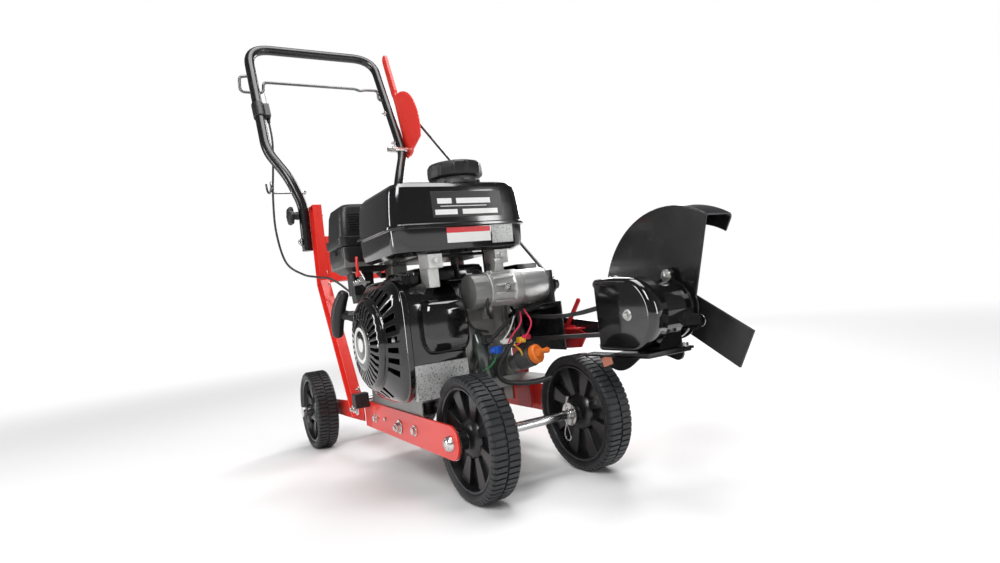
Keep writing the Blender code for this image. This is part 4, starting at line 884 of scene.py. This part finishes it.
# Air cleaner: a lidded box in two tiers over the intake.
x0, x1, y0, y1 = -0.405, -0.293, -0.142, -0.030
box_shape = Shape().loft(
    [rect_ring(x0 + d, x1 - d, y0 + d, y1 - d, 0.014, z) for d,
    z in ((0.005, 0.4520), (0.0015, 0.4545), (0.0, 0.4600), (0.0, 0.4720))]
    + [rect_ring(x0 + d, x1 - d, y0 + d, y1 - d, 0.016, z) for d,
    z in ((0.004, 0.4732), (0.004, 0.4800), (0.008, 0.5200), (0.012, 0.5335), (0.022, 0.5400))]
)
for i in range(7):
    bz = 0.4860 + i * 0.0052
    box_shape.box((x1 - 0.0075, y0 + 0.022, bz), (x1 - 0.0025 - i * 0.0006, y1 - 0.022, bz + 0.0024))
box_shape.done("air_cleaner_lid", SATIN, "chassis", bevel=0.0009, replaces=("air_cleaner_cover",),
    slot="black_plastic", angle=30)
lower_box = Shape().loft([rect_ring(-0.402 + d, -0.296 - d, -0.138 + d, -0.033 - d, 0.012, z) for d,
    z in ((0.016, 0.4000), (0.004, 0.4120), (0.0, 0.4300), (0.0, 0.4512))])
lower_box.rod((-0.350, -0.090, 0.340), (-0.350, -0.090, 0.405), 0.021, 0.027, 32)
lower_box.box((-0.372, -0.112, 0.356), (-0.328, -0.070, 0.402))
lower_box.rod((-0.3400, -0.1290, 0.444), (-0.3400, -0.1440, 0.444), 0.0065, 0.0050, 20)
lower_box.done("air_cleaner_tray", SATIN, "chassis", bevel=0.0012, slot="black_plastic")
strip = Shape().box((x0 + 0.030, y0 + 0.0072, 0.492), (x1 - 0.030, y0 + 0.0088, 0.516), ("X", math.radians(-6)),
    (0, y0 + 0.008, 0.504))
strip.done("blank_filter_label", PALE, "chassis", slot="zinc")


def control_plate():
    """The lever plate with its spring and link rods, on the shroud's rear shoulder."""
    lever = Shape().box((-0.300, -0.1230, 0.3740), (-0.215, -0.1160, 0.3775))
    lever.plate(strap((-0.262, 0.395), (-0.236, 0.375), 0.013), -0.1205, -0.1185)
    lever.rod((-0.330, -0.1190, 0.4060), (-0.262, -0.1190, 0.3960), 0.0011, None, 10)
    coil = [(-0.330 + 0.055 * i / 90, -0.1100 + 0.0036 * math.cos(i * 0.75),
        0.3830 + 0.0036 * math.sin(i * 0.75)) for i in range(91)]
    lever.tube(coil, 0.0007, 6)
    lever.done("throttle_plate_and_links", ZINC, "chassis", slot="zinc")


control_plate()


def starter():
    """The electric starter: a cast nose, a plated can with rolled ends, and its black end cap and strap."""
    x, z = -0.050, 0.335
    nose = Shape().spin(
        [(0.0, 0.0960), (0.0318, 0.0960), (0.0330, 0.0940), (0.0330, 0.0800), (0.0305, 0.0770),
        (0.0290, 0.0400), (0.0325, 0.0330), (0.0325, 0.0303), (0.0, 0.0303)],
        (x, 0, z), steps=56,
    )
    for a in range(-40, 221, 26):
        r = math.radians(a)
        nose.box((x + 0.024, 0.0400, z - 0.0016), (x + 0.0335, 0.0780, z + 0.0016), ("Y", -r), (x, 0, z))
    nose.plate(strap((x + 0.004, z + 0.034), (x + 0.010, z + 0.046), 0.016), 0.0500, 0.0620)
    nose.plate(strap((x - 0.020, z - 0.030), (x - 0.034, z - 0.046), 0.018), 0.0350, 0.0500)
    nose.done("starter_nose_casting", NOSE, "chassis", bevel=0.0008, replaces=("starter_motor",),
        slot="cast_aluminium", angle=30)
    can = Shape().spin(
        [(0.0, 0.1530), (0.0270, 0.1530), (0.0305, 0.1512), (0.0312, 0.1490), (0.0312, 0.0985),
        (0.0318, 0.0975), (0.0318, 0.0962), (0.0, 0.0962)],
        (x, 0, z), steps=64,
    )
    can.done("starter_can", CAN, "chassis", slot="zinc", angle=30)
    end = Shape().spin([(0.0, 0.1625), (0.0095, 0.1620), (0.0110, 0.1535), (0.0, 0.1535)], (x, 0, z), steps=32)
    end.box((x - 0.012, 0.1500, z - 0.036), (x + 0.034, 0.1560, z + 0.024))
    end.tube(smooth_path([(x + 0.010, 0.150, z - 0.030), (x + 0.006, 0.120, z - 0.040),
        (x + 0.002, 0.090, z - 0.044)], 0.006), 0.0065, 12)
    end.done("starter_end_cap", SATIN, "chassis", bevel=0.0012, slot="black_plastic")
    studs = Shape().bolt((x + 0.022, 0.1562, z + 0.010), (0, 1, 0), 0.0042, length=0.009)
    studs.bolt((x - 0.002, 0.0620, z + 0.046), (0, -1, 0), 0.0048)
    studs.bolt((x + 0.033, 0.060, z + 0.002), (1, 0, 0), 0.0044, length=0.007)
    studs.done("starter_studs", ZINC, "chassis", bevel=0.0003, slot="zinc")


starter()


def casting_details():
    """Flanges, ribs and bolts on the crankcase, and its side cover towards the belt."""
    cover = Shape().spin([(0.0175, 0.1120), (0.030, 0.1120), (0.036, 0.1060), (0.074, 0.1040), (0.078, 0.1010),
        (0.078, 0.0975), (0.0175, 0.0975)], (CX, 0, CZ), steps=56)
    for i in range(8):
        a = TAU * (i + 0.5) / 8
        cover.rod((CX + 0.079 * math.cos(a), 0.0975, CZ + 0.079 * math.sin(a)),
            (CX + 0.079 * math.cos(a), 0.1045, CZ + 0.079 * math.sin(a)), 0.0085, None, 20)
        cover.box((CX + 0.034, 0.1030, CZ - 0.0016), (CX + 0.072, 0.1068, CZ + 0.0016), ("Y", -a), (CX, 0, CZ))
    cover.spin([(0.0, 0.0), (0.098, 0.0), (0.0995, 0.004), (0.0995, 0.010), (0.0965, 0.012), (0.0, 0.012)],
        (CX, 0.0, CZ), steps=64)
    for dz in (0.0, 0.022, 0.044):
        cover.box((CX + 0.0845, 0.020, 0.205 + dz), (CX + 0.0905, 0.090, 0.2075 + dz))
    for dy in (0.022, 0.052, 0.082):
        cover.box((CX + 0.0845, dy, 0.170), (CX + 0.0895, dy + 0.0026, 0.300))
    cover.rod((-0.098, 0.062, 0.187), (-0.060, 0.0785, 0.1985), 0.0200, 0.0165, 28)
    cover.box((-0.110, 0.010, 0.1700), (-0.062, 0.094, 0.1800))
    cover.done("crankcase_cover_and_ribs", CAST, "chassis", bevel=0.0006, slot="cast_aluminium")
    heads = Shape()
    for i in range(8):
        a = TAU * (i + 0.5) / 8
        heads.bolt((CX + 0.079 * math.cos(a), 0.1046, CZ + 0.079 * math.sin(a)), (0, 1, 0), 0.0048)
    for fx in (-0.255, -0.095):
        for fy in (0.012, 0.082):
            heads.bolt((fx, fy, 0.1696), (0, 0, 1), 0.0058)
    heads.bolt((-0.0788, 0.0150, 0.1850), (1, 0, 0), 0.0085, washer=True)
    heads.done("crankcase_bolts", ZINC, "chassis", bevel=0.0003, slot="zinc")


casting_details()

foot = Vector((-0.018, 0.0960, 0.2130))
out = Vector((0.082, 0.036, 0.028)).normalized()
side = out.cross(Vector((0, 0, 1))).normalized()
cap = Shape().spin([(0.0, 0.0135), (0.0145, 0.0135), (0.0166, 0.0110), (0.0166, 0.0020), (0.0150, 0.0006),
    (0.0, 0.0006)], tuple(foot), tuple(out), 60, lambda a: 1 + 0.03 * math.cos(20 * a))
middle = foot + out * 0.0215
cap.tube([middle + side * (0.0165 * (i / 6 - 1)) for i in range(13)], 0.0050, 14,
    taper=lambda t: 0.8 + 0.3 * abs(2 * t - 1))
cap.rod(foot + out * 0.010, middle, 0.0080, 0.0055, 20)
cap.done("oil_cap_moulding", ORANGE, "oil_cap", bevel=0.0005, replaces=("oil_cap",), slot="orange_plastic")
collar = Shape().rod(foot - out * 0.030, foot - out * 0.0004, 0.0175, 0.0185, 28)
collar.done("oil_neck_collar", DARK_CAST, "chassis", bevel=0.0008, slot="cast_aluminium")


def wiring():
    """The starter's loom, its connectors and the loose leads between the starter and the oil neck."""
    leads = (
        ("black", 0.0042, [(-0.046, 0.094, 0.290), (-0.026, 0.080, 0.262), (-0.036, 0.058, 0.230),
        (-0.048, 0.040, 0.196), (-0.046, 0.052, 0.172), (-0.020, 0.090, 0.166), (0.000, 0.118, 0.172)]),
        ("black", 0.0034, [(-0.052, 0.100, 0.292), (-0.060, 0.060, 0.262), (-0.068, 0.020, 0.226),
        (-0.072, 0.004, 0.186), (-0.074, 0.030, 0.168)]),
        ("red", 0.0015, [(-0.034, 0.090, 0.290), (-0.018, 0.078, 0.272), (-0.022, 0.060, 0.252),
        (-0.030, 0.056, 0.240)]),
        ("red", 0.0015, [(-0.030, 0.096, 0.294), (-0.006, 0.092, 0.270), (-0.010, 0.076, 0.244),
        (-0.022, 0.066, 0.234)]),
        ("white", 0.0014, [(-0.040, 0.080, 0.284), (-0.030, 0.062, 0.262), (-0.036, 0.050, 0.246)]),
        ("green", 0.0014, [(-0.046, 0.040, 0.222), (-0.052, 0.030, 0.204), (-0.064, 0.018, 0.196)]),
        ("yellow", 0.0016, [(-0.028, 0.066, 0.236), (-0.020, 0.074, 0.222), (-0.030, 0.080, 0.204)]),
        ("black", 0.0022, [(-0.084, 0.002, 0.352), (-0.070, -0.006, 0.330), (-0.062, -0.004, 0.300),
        (-0.066, 0.010, 0.272), (-0.060, 0.036, 0.262)]),
        ("black", 0.0030, [(-0.078, 0.030, 0.372), (-0.052, 0.028, 0.368), (-0.034, 0.024, 0.350),
        (-0.026, 0.022, 0.322), (-0.036, 0.026, 0.300), (-0.052, 0.040, 0.286)]),
    )
    for i, (colour, radius, points) in enumerate(leads):
        lead = Shape().tube(smooth_path(points, 0.004), radius, 10)
        lead.done(f"lead_{i}_{colour}", WIRES[colour], "chassis", slot="rubber")
    for i, (colour, centre, size) in enumerate((
        ("blue", (-0.046, 0.040, 0.230), 0.0075), ("yellow", (-0.020, 0.076, 0.243), 0.0060),
        ("white", (-0.036, 0.056, 0.243), 0.0055),
        ("red", (-0.014, 0.084, 0.247), 0.0050), ("black", (-0.052, 0.026, 0.250), 0.0085),
    )):
        c = Vector(centre)
        plug = Shape().box(c - Vector((size, size * 1.2, size * 0.8)),
            c + Vector((size, size * 1.2, size * 0.8)), ("Z", 0.5 + i), c)
        plug.box(c - Vector((size * 0.6, size * 1.9, size * 0.5)),
            c + Vector((size * 0.6, size * 1.9, size * 0.5)), ("Z", 0.5 + i), c)
        plug.done(f"plug_{i}_{colour}", WIRES[colour], "chassis", bevel=0.0007, slot="black_plastic")
    sleeve = Shape().tube(smooth_path([(-0.086, 0.020, 0.262), (-0.072, 0.022, 0.238), (-0.070, 0.026, 0.205),
        (-0.076, 0.034, 0.182)], 0.006), 0.0130, 16)
    sleeve.done("loom_sleeve", mat("clear_sleeve", (0.055, 0.065, 0.062), 0.16, 0.0, 300, 0.4, 0.3, 0.6),
        "chassis", slot="black_plastic")


wiring()

# ---------------------------------------------------------------- studio

floor_mesh = bpy.data.meshes.new("floor")
grid = bmesh.new()
bmesh.ops.create_grid(grid, x_segments=1, y_segments=1, size=30)
grid.to_mesh(floor_mesh)
grid.free()
floor = bpy.data.objects.new("floor", floor_mesh)
bpy.context.scene.collection.objects.link(floor)
paper = mat("floor_paper", (0.92, 0.92, 0.92), 0.75, 0.0, 300, 0.02, 0.005, 0.0, (0.92, 0.92, 0.92), 0.0)
paper_shader = next(n for n in paper.node_tree.nodes if n.type == "BSDF_PRINCIPLED")
spot = paper.node_tree.nodes.new("ShaderNodeTexCoord")
reach = paper.node_tree.nodes.new("ShaderNodeVectorMath")
reach.operation = "LENGTH"
fade = paper.node_tree.nodes.new("ShaderNodeMapRange")
fade.inputs["From Min"].default_value = 0.9
fade.inputs["From Max"].default_value = 3.4
fade.interpolation_type = "SMOOTHSTEP"
glow = paper.node_tree.nodes.new("ShaderNodeEmission")
glow.inputs["Color"].default_value = (1.0, 1.0, 1.0, 1)
blend_floor = paper.node_tree.nodes.new("ShaderNodeMixShader")
surface = next(n for n in paper.node_tree.nodes if n.type == "OUTPUT_MATERIAL")
paper.node_tree.links.new(spot.outputs["Object"], reach.inputs[0])
paper.node_tree.links.new(reach.outputs["Value"], fade.inputs["Value"])
paper.node_tree.links.new(fade.outputs["Result"], blend_floor.inputs["Fac"])
paper.node_tree.links.new(paper_shader.outputs["BSDF"], blend_floor.inputs[1])
paper.node_tree.links.new(glow.outputs["Emission"], blend_floor.inputs[2])
paper.node_tree.links.new(blend_floor.outputs["Shader"], surface.inputs["Surface"])
floor_mesh.materials.append(paper)

world = bpy.data.worlds.new("studio")
bpy.context.scene.world = world
world.use_nodes = True
sky = world.node_tree
background = next(n for n in sky.nodes if n.type == "BACKGROUND")
direction = sky.nodes.new("ShaderNodeTexCoord")
split = sky.nodes.new("ShaderNodeSeparateXYZ")
ramp = sky.nodes.new("ShaderNodeValToRGB")
ramp.color_ramp.elements[0].position = 0.10
ramp.color_ramp.elements[0].color = (0.15, 0.15, 0.15, 1)
ramp.color_ramp.elements[1].position = 0.70
ramp.color_ramp.elements[1].color = (0.08, 0.08, 0.085, 1)
seen = sky.nodes.new("ShaderNodeLightPath")
either = sky.nodes.new("ShaderNodeMix")
either.data_type = "RGBA"
either.inputs["B"].default_value = (1.0, 1.0, 1.0, 1)
sky.links.new(direction.outputs["Generated"], split.inputs["Vector"])
sky.links.new(split.outputs["Z"], ramp.inputs["Fac"])
sky.links.new(ramp.outputs["Color"], either.inputs["A"])
sky.links.new(seen.outputs["Is Camera Ray"], either.inputs["Factor"])
sky.links.new(either.outputs["Result"], background.inputs["Color"])
background.inputs["Strength"].default_value = 1.0


def softbox(name, place, target, width, height, power):
    """A rectangular studio light at place, facing target; sizes in metres and power in watts."""
    light = bpy.data.lights.new(name, "AREA")
    light.shape = "RECTANGLE"
    light.size, light.size_y, light.energy = width, height, power
    lamp = bpy.data.objects.new(name, light)
    bpy.context.scene.collection.objects.link(lamp)
    lamp.location = place
    lamp.rotation_euler = (Vector(target) - Vector(place)).to_track_quat("-Z", "Y").to_euler()


softbox("key", (1.8, -1.6, 2.4), (0, 0, 0.35), 0.9, 1.5, 56)
softbox("fill", (-0.9, -2.6, 0.95), (0, 0, 0.4), 0.35, 1.9, 24)
softbox("front", (2.75, 1.70, 0.80), (0, 0, 0.4), 0.26, 1.5, 15)
softbox("top", (0.1, 0.3, 2.8), (0, 0, 0.3), 1.7, 1.7, 52)
softbox("rim", (-1.6, 2.0, 1.6), (0, 0, 0.5), 0.8, 1.6, 38)

# The camera, low and in front of the machine's right side, rolled a little: what the photograph's fit gave.
CAMERA_PLACE = Vector((0.8812, -0.4818, 0.3275))
SENSOR_MM, LENS_MM = 36, 21.906
heading, pitch, roll = 1.0397, -0.019, -0.1146  # radians
view = Vector((-math.cos(pitch) * math.sin(heading), math.cos(pitch) * math.cos(heading), -math.sin(pitch)))
right = view.cross(Vector((0, 0, 1))).normalized()
up = right.cross(view)
right_rolled = right * math.cos(roll) + up * math.sin(roll)
up_rolled = up * math.cos(roll) - right * math.sin(roll)
camera_data = bpy.data.cameras.new("camera")
camera = bpy.data.objects.new("camera", camera_data)
bpy.context.scene.collection.objects.link(camera)
pose = Matrix.Identity(4)
for row in range(3):
    pose[row][0], pose[row][1], pose[row][2] = right_rolled[row], up_rolled[row], -view[row]
pose.translation = CAMERA_PLACE + SHIFT
camera.matrix_world = pose
camera_data.sensor_width = SENSOR_MM
camera_data.lens = LENS_MM
bpy.context.scene.camera = camera
bpy.context.scene.view_settings.view_transform = "Standard"
